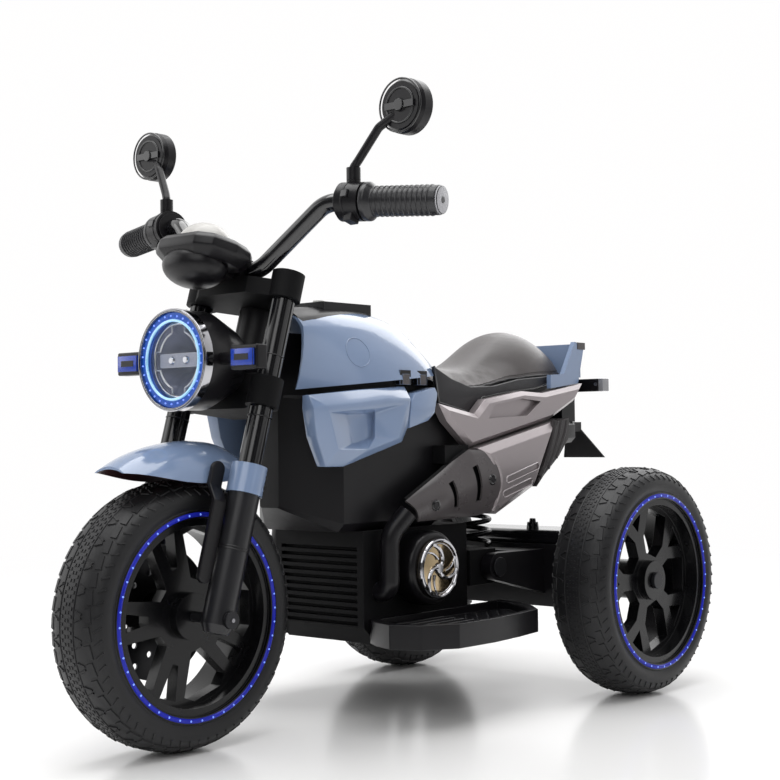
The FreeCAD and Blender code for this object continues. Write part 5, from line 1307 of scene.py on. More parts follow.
@dataclass
class Cockpit:
    """Handlebar with grips, switch housings, mirrors and gauge pod.

    Sizes are in millimetres of the fork's frame, apart from the mirror's.

    Attributes:
        shoulder: Start of the bar's left end part.
        end: End of the bar on the left.
        reach: Length of that part with its grip.
        ribs: Ribs on a grip.
        rib_start: Distance of the first rib from the shoulder, and from rib to rib.
        steps: Start, stop and radius of each step of a switch housing.
        pod_lead: How far the gauge pod lies before the fork's axis.
        pod_half: Half of the pod's outline, as (across, along).
        pod_rows: Height and scale of each row of the pod's tray.
        mirror_head: Middle of the left mirror in the bike's frame.
    """

    shoulder: Point = (125.0, -17.0, 475.0)
    end: Point = (264.0, 18.0, 476.0)
    reach: float = 143.35
    ribs: int = 12
    rib_start: tuple[float, float] = (66.0, 6.2)
    steps: tuple[Point, ...] = ((19.0, 22.5, 19.0), (30.0, 33.0, 22.8), (49.0, 52.5, 18.0))
    pod_lead: float = 69.0
    pod_half: Line = ((30, -45), (49, -33), (58, -4), (55, 20), (44, 33))
    pod_rows: Line = ((388.0, 0.80), (396.0, 0.97), (399.0, 1.0), (408.0, 0.99), (415.0, 0.86))
    mirror_head: Point = (214.9, -180.4, 711.3)

    def along(self, sign: int, distance: float) -> tuple[Vector, Vector]:
        """Give a point of the bar's end part and the bar's direction there, in the fork's frame.

        Args:
            sign: 1 on the left and -1 on the right.
            distance: Distance from the bar's shoulder.

        Returns:
            The point and the direction.
        """
        way = (Vector(self.end) - Vector(self.shoulder)).normalized()
        spot = Vector(self.shoulder) + way * distance
        return Vector((sign * spot.x, spot.y, spot.z)), Vector((sign * way.x, way.y, way.z))

    def build(self) -> None:
        """Build all of it."""
        dress("handlebar", Look.ENAMEL)
        dress("bar_controls", Look.BLACK, 1.2)
        self.build_grips()
        self.build_ribs()
        self.build_switches()
        self.build_pod()
        for hand, sign in HANDS:
            dress(f"mirror_body_{hand}", Look.BLACK, 0.8)
            dress(f"mirror_glass_{hand}", Look.GLASS, 0.3)
            self.build_mirror_back(hand, sign)

    def build_grips(self) -> None:
        """Show the grips with pale ends."""
        work = merged("hand_grips")
        back = FORK.inverted()

        def outside(face: bmesh.types.BMFace) -> bool:
            """Tell whether a face lies on a grip's end."""
            spot = back @ face.calc_center_median() / MM
            far = (Vector((abs(spot.x), spot.y, spot.z)) - Vector(self.shoulder)).length
            return far > self.reach - 0.2

        paint(work, outside)
        soften(work, 0.9 * MM)
        for sign in (-1, 1):
            spot, way = self.along(sign, self.reach + 2.6)
            add_drum(work, to_bike(spot), to_bike(spot + way), (4.0, 3.6), 20, 0)
        show_node("hand_grips", work, [Look.GRIP, Look.GREY])

    def build_ribs(self) -> None:
        """Add the ribs round each grip."""
        rib = bmesh.new()
        add_tube(rib, round_line("Z", Vector(), 16.3 * MM, 28), 1.25 * MM, True, 6)
        start, pitch = self.rib_start
        spots = []
        for sign in (-1, 1):
            for step in range(self.ribs):
                spot, way = self.along(sign, start + pitch * step)
                spots.append((to_bike(spot), tuple(FORK_WAY @ way)))
        mesh = ON_POINTS.run(points_mesh(spots), shape_object("grip_rib", rib), Look.GRIP)
        put_on(mesh_object("grip_ribs", mesh, [Look.GRIP]), "steering", slot_of("hand_grips"))

    def build_switches(self) -> None:
        """Add the steps, levers and buttons of the switch housings."""
        work = bmesh.new()
        for sign in (-1, 1):
            for start, stop, radius in self.steps:
                ends = [to_bike(self.along(sign, distance)[0]) for distance in (start, stop)]
                add_drum(work, *ends, (radius, radius), 36)
            spot, _ = self.along(sign, 41.0)
            add_block(work, (spot.x - 6, spot.y - 12, spot.z - 27), (spot.x + 6, spot.y + 2, spot.z - 16), 0, FORK)
            add_block(work, (spot.x - 5, spot.y - 25, spot.z - 4), (spot.x + 5, spot.y - 19, spot.z + 5), 1, FORK)
        show("switch_details", work, [Look.BLACK, Look.GLOSS], "steering", "black_plastic", bevel=0.9)

    def add_ball(self, work: Work, lead: float, up: float, radii: Point) -> None:
        """Add a squashed ball, its middle some way before the pod's."""
        place = Matrix.Translation(Vector((0, -self.pod_lead - lead, up)) * MM) @ Matrix.Diagonal((*radii, 1.0))
        bmesh.ops.create_uvsphere(work, u_segments=40, v_segments=20, radius=MM, matrix=FORK @ place)

    def build_pod(self) -> None:
        """Build the gauge pod: a faceted tray over a rounded chin, with a dome on it."""
        outline = [*self.pod_half, *((-x, y) for x, y in self.pod_half[::-1])]
        work = bmesh.new()
        rings = []
        for up, scale in self.pod_rows:
            rings.append([work.verts.new(on_fork((x * scale, y * scale - self.pod_lead, up))) for x, y in outline])
        for low, high in zip(rings, rings[1:]):
            bridge(work, low, high)
        work.faces.new(rings[0][::-1])
        work.faces.new(rings[-1])
        bmesh.ops.recalc_face_normals(work, faces=work.faces)
        soften(work, 1.4 * MM, 20.0)
        self.add_ball(work, 11, 384, (42.0, 34.0, 24.0))
        add_block(work, (-17, -self.pod_lead + 4, 386), (17, -30, 404), 0, FORK)
        dome = bmesh.new()
        self.add_ball(dome, 4, 412, (34.0, 30.0, 27.0))
        show_node("gauge_dome", dome, [Look.DOME])
        show_node("gauge_pod", work, [Look.BLACK], smooth_deg=40)

    def build_mirror_back(self, hand: str, sign: int) -> None:
        """Add the ring, bar and hub on the back of a mirror.

        Args:
            hand: The mirror's side.
            sign: 1 on the left and -1 on the right.
        """
        head = Vector((sign * self.mirror_head[0], self.mirror_head[1], self.mirror_head[2]))
        work = bmesh.new()
        middle = (head - Vector((0, 10.0, 0))) * MM
        for radius, bead in ((19.5, 1.5), (29.6, 1.2)):
            add_tube(work, round_line("Y", middle, radius * MM, 40), bead * MM, True, 8)
        add_block(work, tuple(head + Vector((-21, -12.4, -4))), tuple(head + Vector((21, -9, 4))))
        add_drum(work, tuple(head + Vector((0, -9, 0))), tuple(head + Vector((0, -14, 0))), (8, 6.5), 24)
        show(f"mirror_back_{hand}", work, [Look.GLOSS], f"mirror_{hand}", "black_plastic", bevel=0.6)


@dataclass
class Bodywork:
    """Tank cover, its black cap and the faceted side panels. Sizes are in millimetres.

    Attributes:
        circle: Place along, height and radius of the tank's embossed ring.
        tabs: Start and stop of each tab under the tank.
        cap: Half width of the cap along the tank.
        corners: Named corners of the left side panel.
    """

    circle: tuple[float, float, float] = (-110.0, 447.0, 17.5)
    tabs: tuple[tuple[float, float], ...] = ((-46.0, -29.0), (-9.0, 6.0))
    cap: Line = ((-210, 40), (-190, 46), (-150, 47), (-110, 42), (-70, 34), (-30, 26))
    corners: dict[str, Point] = field(default_factory=lambda: {
        "T0": (84, -205, 394), "T1": (86, -117, 402), "T2": (86, -38, 407), "B0": (92, -205.5, 379),
        "B1": (98, -190, 382), "B2": (99, -132, 386), "B3": (99, -84, 391), "B4": (98, -40, 391),
        "L0": (90, -199, 346), "L1": (88, -182, 311), "L2": (90, -154, 310.5), "L3": (92, -51, 338),
        "L4": (94, -42, 356), "R0": (98, -185, 374), "R1": (98, -171, 331), "R2": (98, -120, 330),
        "R3": (97, -63, 343), "R4": (98, -47, 386), "R5": (98, -107, 378), "F0": (84, -140, 372),
        "F1": (84, -131, 338), "F2": (84, -98, 345), "F3": (84, -95, 373), "G0": (93, -101, 373),
        "G1": (93, -102, 344)})

    def build(self) -> None:
        """Build all of it."""
        dress("tank_cover", Look.BLUE, 1.0)
        dress("control_panel", Look.BLACK, 1.5)
        dress("power_button", Look.PALE, 0.6)
        dress("direction_rocker", Look.GLOSS, 0.6)
        for hand in ("left", "right"):
            dress(f"body_half_{hand}", Look.HULL, 1.6)
        self.build_tank_trim()
        self.build_cap()
        self.build_side_panels()

    def build_tank_trim(self) -> None:
        """Add the embossed circle and the two notched tabs on each side of the tank."""
        skin = surface_of("tank_cover")
        work = bmesh.new()
        along, up, radius = self.circle
        ring = []
        for spot in round_line("X", Vector((0.2, along * MM, up * MM)), radius * MM, 56):
            ring.append(skin.ray_cast(spot, Vector((-1, 0, 0)))[0] + Vector((0.0001, 0, 0)))
        add_tube(work, ring, 0.75 * MM, True, 8, 0)
        for start, stop in self.tabs:
            hit = skin.ray_cast(Vector((0.2, (start + stop) / 2 * MM, 0.424)), Vector((-1, 0, 0)))[0]
            out = hit.x / MM
            add_block(work, (out - 6, start - 2, 409), (out + 0.9, stop + 2, 427), 1)
            add_block(work, (out - 6, start + 2, 409), (out + 2.2, stop - 2, 422), 2)
        add_right_hand(work)
        show("tank_trim", work, [Look.BLUE, Look.BLACK, Look.SHIELD], "chassis", "blue_grey", bevel=0.5)

    def build_cap(self) -> None:
        """Lay the black cap over the front of the tank's crown, on the tank's own surface."""
        skin = surface_of("tank_cover")
        work = bmesh.new()
        lines = []
        for along in np.linspace(self.cap[0][0], self.cap[-1][0], 26):
            half = float(np.interp(along, [row[0] for row in self.cap], [row[1] for row in self.cap]))
            inward = min(along - self.cap[0][0], self.cap[-1][0] - along)
            line = []
            for share in np.linspace(-1, 1, 25):
                above = Vector((half * share, along, 600)) * MM
                hit = skin.ray_cast(above, Vector((0, 0, -1)))[0]
                hit = hit or skin.find_nearest(above - Vector((0, 0, 0.1)))[0]
                edge = min(half * (1 - abs(share)), inward)
                line.append(work.verts.new(hit + Vector((0, 0, min(1.4, edge - 0.8))) * MM))
            lines.append(line)
        for here, after in zip(lines, lines[1:]):
            bridge(work, here, after, closed=False)
        bmesh.ops.recalc_face_normals(work, faces=work.faces)
        add_block(work, (-70, 30, 372), (70, 68, 404))
        show("tank_cap", work, [Look.BLACK], "chassis", "black_plastic", smooth_deg=50)

    def build_side_panels(self) -> None:
        """Build the side panels: a brow over a recess of facets, and a box at the rear end."""
        faces = ["T0 B0 B1", "T0 B1 B2 T1", "T1 B2 B3 T2", "T2 B3 B4", "B1 R0 R5 B2", "B2 R5 B3", "B3 R5 R4 B4",
                 "B0 L0 R0 B1", "L0 L1 R1 R0", "L1 L2 R2 R1", "L2 L3 R3 R2", "L3 L4 R4 R3", "L4 B4 R4",
                 "R0 R1 F1 F0", "R0 F0 F3 R5", "R5 F3 G0", "R5 G0 R4", "F0 F1 F2 F3", "F3 F2 G1 G0", "G0 G1 R3 R4",
                 "F1 R1 R2", "F1 R2 F2", "F2 R2 G1", "G1 R2 R3"]
        rim = ("T0", "T1", "T2", "B4", "L4", "L3", "L2", "L1", "L0", "B0")
        points = dict(self.corners)
        points.update({f"{name}i": (73.0, points[name][1], points[name][2]) for name in rim})
        inner = [f"{name}i" for name in rim]
        faces += [*walls(rim, inner), " ".join(inner)]
        box = {"a": (97, -38, 388), "b": (97, -30, 398), "c": (96, 9, 406), "d": (97, 13, 398), "e": (96, 8, 374),
               "f": (95, -4, 364), "g": (95, -40, 355)}
        points.update(box)
        points.update({f"{name}i": (74.0, y, z) for name, (_, y, z) in box.items()})
        inner = [f"{name}i" for name in box]
        faces += [" ".join(box), *walls(tuple(box), inner), " ".join(inner)]
        work = from_faces(points, faces)
        soften(work, 1.5 * MM, 14.0)
        add_right_hand(work)
        show_node("side_panels", work, [Look.BLUE], smooth_deg=30)


@dataclass
class Power:
    """Engine block, clutch covers, exhausts and heat shields. Sizes are in millimetres.

    Attributes:
        clutch: Middle of the left clutch disc's face.
        arms: Arms of the disc's swirl.
        seats: Place of the shields' screws, as (along, height).
        shares: Shares of the shield's length at which its edges are given.
        top: The shield's upper edge at those shares, as (along, height).
        foot: Its lower edge.
        slots: Start and stop of each slot, as shares of the length.
        slot_rows: First and last row of the slots.
        skin: Thickness of a shield.
        grooves: Both ends of each groove in a silencer.
        ribs: Line of each rib on a silencer's end.
        disc: Radius of the swirl.
        disc_face: Distance from the bike's middle, in metres, beyond which a face is the disc's.
    """

    clutch: Point = (112.0, -6.5, 182.0)
    arms: int = 3
    seats: Line = ((-9.0, 259.5), (101.0, 288.0))
    shares: tuple[float, ...] = (0.0, 0.35, 0.75, 1.0)
    top: Line = ((-54, 267), (6, 296.5), (66, 327.5), (103, 325))
    foot: Line = ((-32, 240.5), (24, 240.5), (76, 242), (106, 246))
    slots: Line = ((0.38, 0.445), (0.69, 0.755))
    slot_rows: tuple[int, int] = (5, 17)
    skin: float = 3.0
    grooves: tuple[Line, ...] = (((138.3, 287.1), (202.9, 303.1)), ((130.2, 268.4), (186.7, 282.6)))
    ribs: tuple[Line, ...] = (((252, 364), (243, 338), (228, 306), (214, 288)),
                              ((265, 365), (258, 344), (246, 320), (233, 300)),
                              ((278, 364), (273, 348), (264, 332), (252, 314)))
    disc: float = 33.0
    disc_face: float = 0.1062

    def build(self) -> None:
        """Build all of it."""
        # The engine block takes the shaded black: painted shade.
        dress("engine_block", Look.DEEP, 1.2)
        shield = self.build_shields()
        self.build_exhausts()
        self.build_exhaust_trim(shield)
        self.build_clutches()

    def on_shield(self, share: float, turn: float) -> Vector:
        """Give a point of the left shield by its share from front to rear and from top to foot.

        Args:
            share: Share from front to rear.
            turn: Share from top to foot.

        Returns:
            The point in metres.
        """
        top = Vector([float(np.interp(share, self.shares, [row[axis] for row in self.top])) for axis in (0, 1)])
        foot = Vector([float(np.interp(share, self.shares, [row[axis] for row in self.foot])) for axis in (0, 1)])
        arch = math.sin(math.pi * turn)
        rear = min(1.0, max(0.0, (share - 0.55) / 0.45))
        front = min(1.0, share / 0.3)
        spot = top.lerp(foot, turn) + Vector(((3 + 12 * rear) * arch, 0))
        out = 99 + 8 * rear + (6 + 8 * front - 7 * rear) * max(arch, 0.0) ** 0.7
        return Vector((out, spot.x, spot.y)) * MM

    def build_shields(self) -> Piece:
        """Build the shields as arched skins with two slots and a raised rear edge, over a backing of painted shade.

        Returns:
            The piece.
        """
        work = bmesh.new()
        marks = sorted(set(np.linspace(0, 1, 30).round(4)) | {mark for slot in self.slots for mark in slot})
        turns = np.linspace(0, 1, 23)
        grid = [[work.verts.new(self.on_shield(mark, turn)) for turn in turns] for mark in marks]
        low, high = self.slot_rows
        for step, (here, after) in enumerate(zip(grid, grid[1:])):
            middle = (marks[step] + marks[step + 1]) / 2
            cut = any(start < middle < stop for start, stop in self.slots)
            for row in range(len(turns) - 1):
                if not (cut and low <= row < high):
                    work.faces.new((here[row], after[row], after[row + 1], here[row + 1]))
        bmesh.ops.recalc_face_normals(work, faces=work.faces)
        if sum(face.normal.x for face in work.faces) < 0:
            bmesh.ops.reverse_faces(work, faces=work.faces)
        bmesh.ops.solidify(work, geom=work.faces[:], thickness=self.skin * MM)
        # A sheet of the shaded black 7.5 mm behind each shield: painted shade, seen through the slots.
        back = [[work.verts.new(self.on_shield(mark, turn) - Vector((7.5, 0, 0)) * MM) for turn in turns[::2]]
                for mark in marks[1:-2]]
        for here, after in zip(back, back[1:]):
            for row in range(len(here) - 1):
                work.faces.new((here[row], after[row], after[row + 1], here[row + 1])).material_index = 2
        # A block of the same painted-shade black behind the shield's upper rear.
        add_block(work, (70, 30, 310), (93, 78, 333), 2)
        rear = [self.on_shield(1.0, turn) + Vector((-0.4, 0.6, 0.0)) * MM for turn in np.linspace(0.02, 0.98, 24)]
        add_tube(work, rear, 2.3 * MM, False, 10, 1)
        add_right_hand(work)
        return show_node("heat_shields", work, [Look.SHIELD, Look.TAUPE, Look.DEEP], smooth_deg=50)

    def build_exhausts(self) -> None:
        """Show the header pipes black, the silencers taupe and their ends dark."""
        work = merged("exhausts")
        for island in islands(work):
            spots = [vertex.co for face in island for vertex in face.verts]
            far, front = max(abs(spot.x) for spot in spots), min(spot.y for spot in spots)
            index = 1 if front < -0.05 else 2 if far < 0.1105 else 0
            for face in island:
                face.material_index = index
        round_long(work, 4.5 * MM)
        show_node("exhausts", work, [Look.TAUPE, Look.BLACK, Look.DARK_END], bevel=1.2)

    def build_exhaust_trim(self, shield: Piece) -> None:
        """Add the shields' screw seats, the silencers' groove rims and the ribs of their ends.

        Args:
            shield: The shields' piece.
        """
        work = bmesh.new()
        skin = skin_of(shield)
        for y, z in self.seats:
            hit, normal, _, _ = skin.ray_cast(Vector((0.2, y * MM, z * MM)), Vector((-1, 0, 0)))
            first = normal.orthogonal().normalized()
            add_tube(work, circle_points(hit, first, normal.cross(first), 5.6 * MM, 28), 1.6 * MM, True, 8, 0)
            low, high = (hit - normal * 2 * MM) / MM, (hit + normal * 0.7 * MM) / MM
            add_drum(work, tuple(low), tuple(high), (4.4, 4.4), 6, 1)
        for (y0, z0), (y1, z1) in self.grooves:
            lean = math.atan2(z1 - z0, y1 - y0)
            turns = np.linspace(math.pi / 2, 1.5 * math.pi, 9)
            loop = [(y0 + 4.4 * math.cos(turn + lean), z0 + 4.4 * math.sin(turn + lean)) for turn in turns]
            loop += [(y1 - 4.4 * math.cos(turn + lean), z1 - 4.4 * math.sin(turn + lean)) for turn in turns]
            add_tube(work, [Vector((111.9, y, z)) * MM for y, z in loop], 0.8 * MM, True, 8, 2)
        for line in self.ribs:
            add_tube(work, [Vector((106.0, y, z)) * MM for y, z in line], 4.4 * MM, False, 10, 3)
        add_right_hand(work)
        looks = [Look.GLOSS, Look.BLACK, Look.BEAD, Look.DARK_END]
        show("exhaust_trim", work, looks, "chassis", "shield_grey")

    def swirl(self, base: float, twist: float, start: float, steps: int) -> list[Vector]:
        """Give a curved line on the left disc that ends at its rim.

        Args:
            base: Its angle at the middle in radians.
            twist: How far it turns on its way out, in radians.
            start: Share of the radius where it starts.
            steps: Points along it.

        Returns:
            The points in metres.
        """
        x, y, z = self.clutch
        path = []
        for share in np.linspace(start, 1.0, steps):
            turn, reach = base + twist * share, self.disc * share
            path.append(Vector((x - 0.2, y + reach * math.cos(turn), z + reach * math.sin(turn))) * MM)
        return path

    def build_clutches(self) -> None:
        """Show the drums black and the discs gold under a chrome rim and swirl."""
        work = merged("clutches")
        paint(work, lambda face: abs(face.calc_center_median().x) > self.disc_face)
        soften(work, 1.0 * MM)
        x, y, z = self.clutch
        trim = bmesh.new()
        middle = Vector((x - 0.6, y, z)) * MM
        for radius, bead in ((34.5, 2.6), (30.6, 0.9)):
            add_tube(trim, round_line("X", middle, radius * MM, 56), bead * MM, True, 10, 2)
        for arm in range(self.arms):
            base = 2 * math.pi * arm / self.arms + 0.5
            add_tube(trim, self.swirl(base, 1.5, 0.14, 14), 2.6 * MM, False, 8, 2)
            add_tube(trim, self.swirl(base + 0.9, 1.1, 0.35, 10), 1.3 * MM, False, 8, 2)
        add_drum(trim, (x - 3, y, z), (x + 1.5, y, z), (8, 6), 28, 2)
        add_right_hand(trim)
        work.from_mesh(finish_mesh("clutch_trim", trim))
        show_node("clutches", work, [Look.BLACK, Look.GOLD, Look.CHROME])


@dataclass
class Tail:
    """Tail panels, cowl, rear lamps and plate bracket.

    Attributes:
        tab: Two opposite corners of the left tab behind the cowl's ear, in millimetres.
    """

    tab: tuple[Point, Point] = ((78, 340, 465.5), (87, 359, 475.5))

    def build(self) -> None:
        """Build all of it."""
        dress("tail_panels", Look.TAUPE, 1.8)
        dress("tail_cowl", Look.BLUE, 1.4)
        dress("rear_lamps", Look.BLACK, 1.2)
        dress("rear_lenses", Look.LAMP, 1.0)
        dress("plate_bracket", Look.BLACK, 0.8)
        self.build_cowl_trim()

    def build_cowl_trim(self) -> None:
        """Add the tab behind each ear of the cowl."""
        work = bmesh.new()
        add_block(work, *self.tab)
        add_right_hand(work)
        show("cowl_trim", work, [Look.SHIELD], "chassis", "blue_grey", bevel=0.5)


@dataclass
class Drive:
    """Swing arm, axle drive, spring and axles.

    Attributes:
        anchor: Upper end of the spring in metres.
        keep: Share of its length that the spring keeps at full travel; not used.
        slack: Share of their thickness at which the pins are shown.
        bars: Height of each rib across the housing's rear, in millimetres.
        knob: Place of the filler knob across and along, in millimetres.
    """

    anchor: Point = (0.0, 0.208, 0.3297)
    keep: float = 0.953
    slack: float = 0.975
    bars: tuple[int, ...] = (128, 144, 160, 176)
    knob: tuple[int, int] = (60, 262)

    def build(self) -> None:
        """Build all of it."""
        dress("swing_arm", Look.BLACK, 1.8)
        dress("axle_drive", Look.GLOSS, 1.8)
        for node in ("front_axle", "rear_axle", "pivot_pin"):
            pin = dress(node, Look.DARK_STEEL, 0.8)
            middle = Vector((0.0, *(sum(vertex.co[axis] for vertex in pin.data.vertices) / len(pin.data.vertices)
                                    for axis in (1, 2))))
            pin.data.transform(Matrix.Translation(middle) @ Matrix.Diagonal((1.0, self.slack, self.slack, 1.0))
                               @ Matrix.Translation(-middle))
        dress("brake_disc", Look.DARK_STEEL, 0.4)
        spring = dress("shock_spring", Look.RIM)
        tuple(self.anchor)
        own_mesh(spring)
        self.build_filler()

    def build_filler(self) -> None:
        """Add the cover's filler knob and the ribs across the housing's rear."""
        work = bmesh.new()
        for z in self.bars:
            add_block(work, (-104, 342, z - 2.5), (104, 347.5, z + 2.5), 1)
        add_drum(work, (*self.knob, 213), (*self.knob, 224), (9, 7.5), 24)
        add_drum(work, (*self.knob, 223), (*self.knob, 229), (5, 4), 20)
        show("drive_filler", work, [Look.GLOSS, Look.BLACK], body_of("axle_drive"), slot_of("axle_drive"),
             bevel=0.9)


@dataclass
class Footboards:
    """The two footboards, low studs on the left one, and the pedal. Sizes are in millimetres.

    Attributes:
        floor: Height of the boards' floor.
        rows: Rows of studs along the board.
        columns: Studs in a row.
        start: Place of the first stud, across and along.
        pitch: Distance from column to column and from row to row.
        shift: How far every second row moves across.
    """

    floor: float = 116.0
    rows: int = 22
    columns: int = 5
    start: tuple[float, float] = (92.0, -92.0)
    pitch: tuple[float, float] = (19.0, 11.0)
    shift: float = 9.0

    def build(self) -> None:
        """Build all of it."""
        for hand, _ in HANDS:
            dress(f"footboard_{hand}", Look.BLACK, 1.2)
        dress("accelerator_pedal", Look.GRIP, 1.0)
        self.build_tread()

    def build_tread(self) -> None:
        """Lay rows of low studs on the left board."""
        stud = block_shape("tread_stud", (0.012, 0.004, 0.0006), 0.0008)
        board = surface_of("footboard_left")
        spots = []
        for row in range(self.rows):
            for column in range(self.columns):
                x = self.start[0] + self.pitch[0] * column + self.shift * (row % 2)
                y = self.start[1] + self.pitch[1] * row
                hits = [board.ray_cast(Vector((x + dx, y + dy, 300)) * MM, Vector((0, 0, -1)))[0]
                        for dx in (-7, 7) for dy in (-3, 3)]
                if all(hit is not None and abs(hit.z / MM - self.floor) < 0.6 for hit in hits):
                    spots.append(((x, y, self.floor), (0, 0, 1)))
        mesh = ON_POINTS.run(points_mesh(spots), stud, Look.GRIP)
        put_on(mesh_object("footboard_studs", mesh, [Look.GRIP]), "chassis", "black_plastic")


@dataclass
class Seat:
    """The padded saddle: a crowned cushion whose two hides meet in a piped and stitched seam.

    Attributes:
        node: The CAD node that it stands for.
        voxel: Mesh step of the swelling, in metres.
        cap: Most that a point may swell, in metres.
        start: How far the cushion is drawn in before it swells, in metres.
        seam: The seam from front to rear as (along, half width, height), in millimetres.
        piping: Radius of the piping in metres.
        pitch: Distance between stitches in metres.
        skirt: Outline of a side flap, as (along, height) in millimetres.
    """

    node: str = "seat_cushion"
    voxel: float = 0.005
    cap: float = 0.006
    start: float = 0.003
    seam: tuple[Point, ...] = ((66, 0, 420), (66, 30, 419), (68, 44.4, 417.6), (84, 58, 412), (105.2, 66.6, 410),
                               (155.6, 71.8, 413.8), (211.6, 74, 423.7), (260, 74, 427), (301.2, 72.5, 429),
                               (330, 64, 431.5), (346, 51.8, 432.8), (350, 25, 433), (350, 0, 433))
    piping: float = 0.0017
    pitch: float = 0.0065
    skirt: Line = ((30, 434), (38, 388), (76, 380.5), (108, 375), (128, 395), (176, 402), (246, 409), (300, 420),
                   (300, 428), (212, 421), (156, 411), (105, 409), (66, 419))

    def build(self) -> None:
        """Swell the cushion, give it its two hides and sew them together."""
        work = merged(self.node)
        piece = mesh_object("seat_look", finish_mesh("seat_start", work), [Look.SEAT, Look.SKIRT])
        self.swell(piece)
        along = [row[0] for row in self.seam]
        height = [row[2] for row in self.seam]
        for face in piece.data.polygons:
            edge = float(np.interp(face.center.y / MM, along, height)) * MM
            face.material_index = 0 if face.center.z > edge else 1
        piece.data.shade_smooth()
        self.sew(piece)
        self.build_skirt()
        put_on(piece, body_of(self.node), slot_of(self.node), self.node)

    def sew(self, piece: Piece) -> None:
        """Lay the piping and two rows of stitches along the seam.

        Args:
            piece: The cushion.
        """
        skin = skin_of(piece)
        half = [Vector(row) * MM for row in self.seam]
        loop = [Vector((p.y, p.x, p.z)) for p in half] + [Vector((-p.y, p.x, p.z)) for p in half[-2:0:-1]]
        path = self.even_steps(loop, 0.004)
        laid, stitches = [], []
        for spot in path:
            hit, normal, _, _ = skin.find_nearest(spot)
            laid.append((hit, normal))
        work = bmesh.new()
        add_tube(work, [hit + normal * 0.0006 for hit, normal in laid], self.piping, True, 8)
        show("seat_piping", work, [Look.SKIRT], body_of(self.node), slot_of(self.node))
        for lift in (0.0052, -0.0052):
            row = []
            for hit, normal in laid:
                spot, face, _, _ = skin.find_nearest(hit + Vector((0, 0, lift)))
                row.append(spot + face * 0.0002)
            even = self.even_steps(row, self.pitch)
            for here, after in zip(even, even[1:] + even[:1]):
                way = (after - here).normalized()
                stitches.append((tuple((here + after) / 2 / MM), tuple(way)))
        thread = bmesh.new()
        add_tube(thread, [Vector((0, 0, step)) * MM for step in (-2.1, -1.6, 1.6, 2.1)], 0.5 * MM, False, 6)
        mesh = ON_POINTS.run(points_mesh(stitches), shape_object("stitch", thread), Look.THREAD)
        put_on(mesh_object("seat_stitches", mesh, [Look.THREAD]), body_of(self.node), slot_of(self.node))

    def build_skirt(self) -> None:
        """Build the side flaps of the hide, with piping along their lower edge."""
        outer, inner = ([f"{side}{step}" for step in range(len(self.skirt))] for side in "oi")
        points = {name: (77.5, y, z) for name, (y, z) in zip(outer, self.skirt)}
        points.update({name: (71.5, y, z) for name, (y, z) in zip(inner, self.skirt)})
        faces = [" ".join(outer), " ".join(inner), *walls(outer, inner)]
        work = from_faces(points, faces)
        soften(work, 2.0 * MM, 20.0, 3)
        add_tube(work, [Vector((77.2, y, z)) * MM for y, z in self.skirt[:8]], 1.6 * MM, False, 8, 1)
        add_right_hand(work)
        show("seat_skirt", work, [Look.SKIRT, Look.GLOSS], body_of(self.node), slot_of(self.node),
             smooth_deg=45)

    @staticmethod
    def even_steps(loop: Sequence[Vector], step: float) -> list[Vector]:
        """Walk round a closed line in even steps.

        Args:
            loop: Corners of the line.
            step: Distance between the points, in metres.

        Returns:
            The points.
        """
        ends = np.array(list(loop) + [loop[0]])
        runs = np.concatenate([[0.0], np.cumsum(np.linalg.norm(np.diff(ends, axis=0), axis=1))])
        marks = np.linspace(0.0, runs[-1], max(8, round(runs[-1] / step)), endpoint=False)
        columns = [np.interp(marks, runs, ends[:, axis]) for axis in range(3)]
        return [Vector(row) for row in zip(*columns)]

    def swell(self, piece: Piece) -> None:
        """Remesh the cushion, puff it up as cloth, cap how far it moves and smooth it once.

        Args:
            piece: The cushion.
        """
        remesh = piece.modifiers.new("even", "REMESH")
        remesh.mode = "VOXEL"
        remesh.voxel_size = self.voxel
        self.apply(piece)
        drawn = piece.modifiers.new("drawn_in", "DISPLACE")
        drawn.strength = -self.start
        drawn.mid_level = 0.0
        self.apply(piece)
        rest = np.array([vertex.co for vertex in piece.data.vertices])
        cloth = piece.modifiers.new("puff", "CLOTH")
        cloth.settings.use_pressure = True
        cloth.settings.uniform_pressure_force = 4.0
        cloth.settings.effector_weights.gravity = 0.0
        scene = bpy.context.scene
        for step in range(1, 21):
            scene.frame_set(step)
        self.apply(piece)
        offset = np.array([vertex.co for vertex in piece.data.vertices]) - rest
        length = np.linalg.norm(offset, axis=1, keepdims=True)
        offset *= np.minimum(1.0, self.cap / np.maximum(length, 1e-9))
        piece.data.vertices.foreach_set("co", (rest + offset).astype(np.float32).ravel())
        scene.frame_set(1)
        piece.modifiers.new("finer", "SUBSURF").levels = 1
        self.apply(piece)

    @staticmethod
    def apply(piece: Piece) -> None:
        """Turn a piece's modifiers into plain mesh."""
        graph = bpy.context.evaluated_depsgraph_get()
        mesh = bpy.data.meshes.new_from_object(piece.evaluated_get(graph))
        piece.modifiers.clear()
        piece.data = mesh


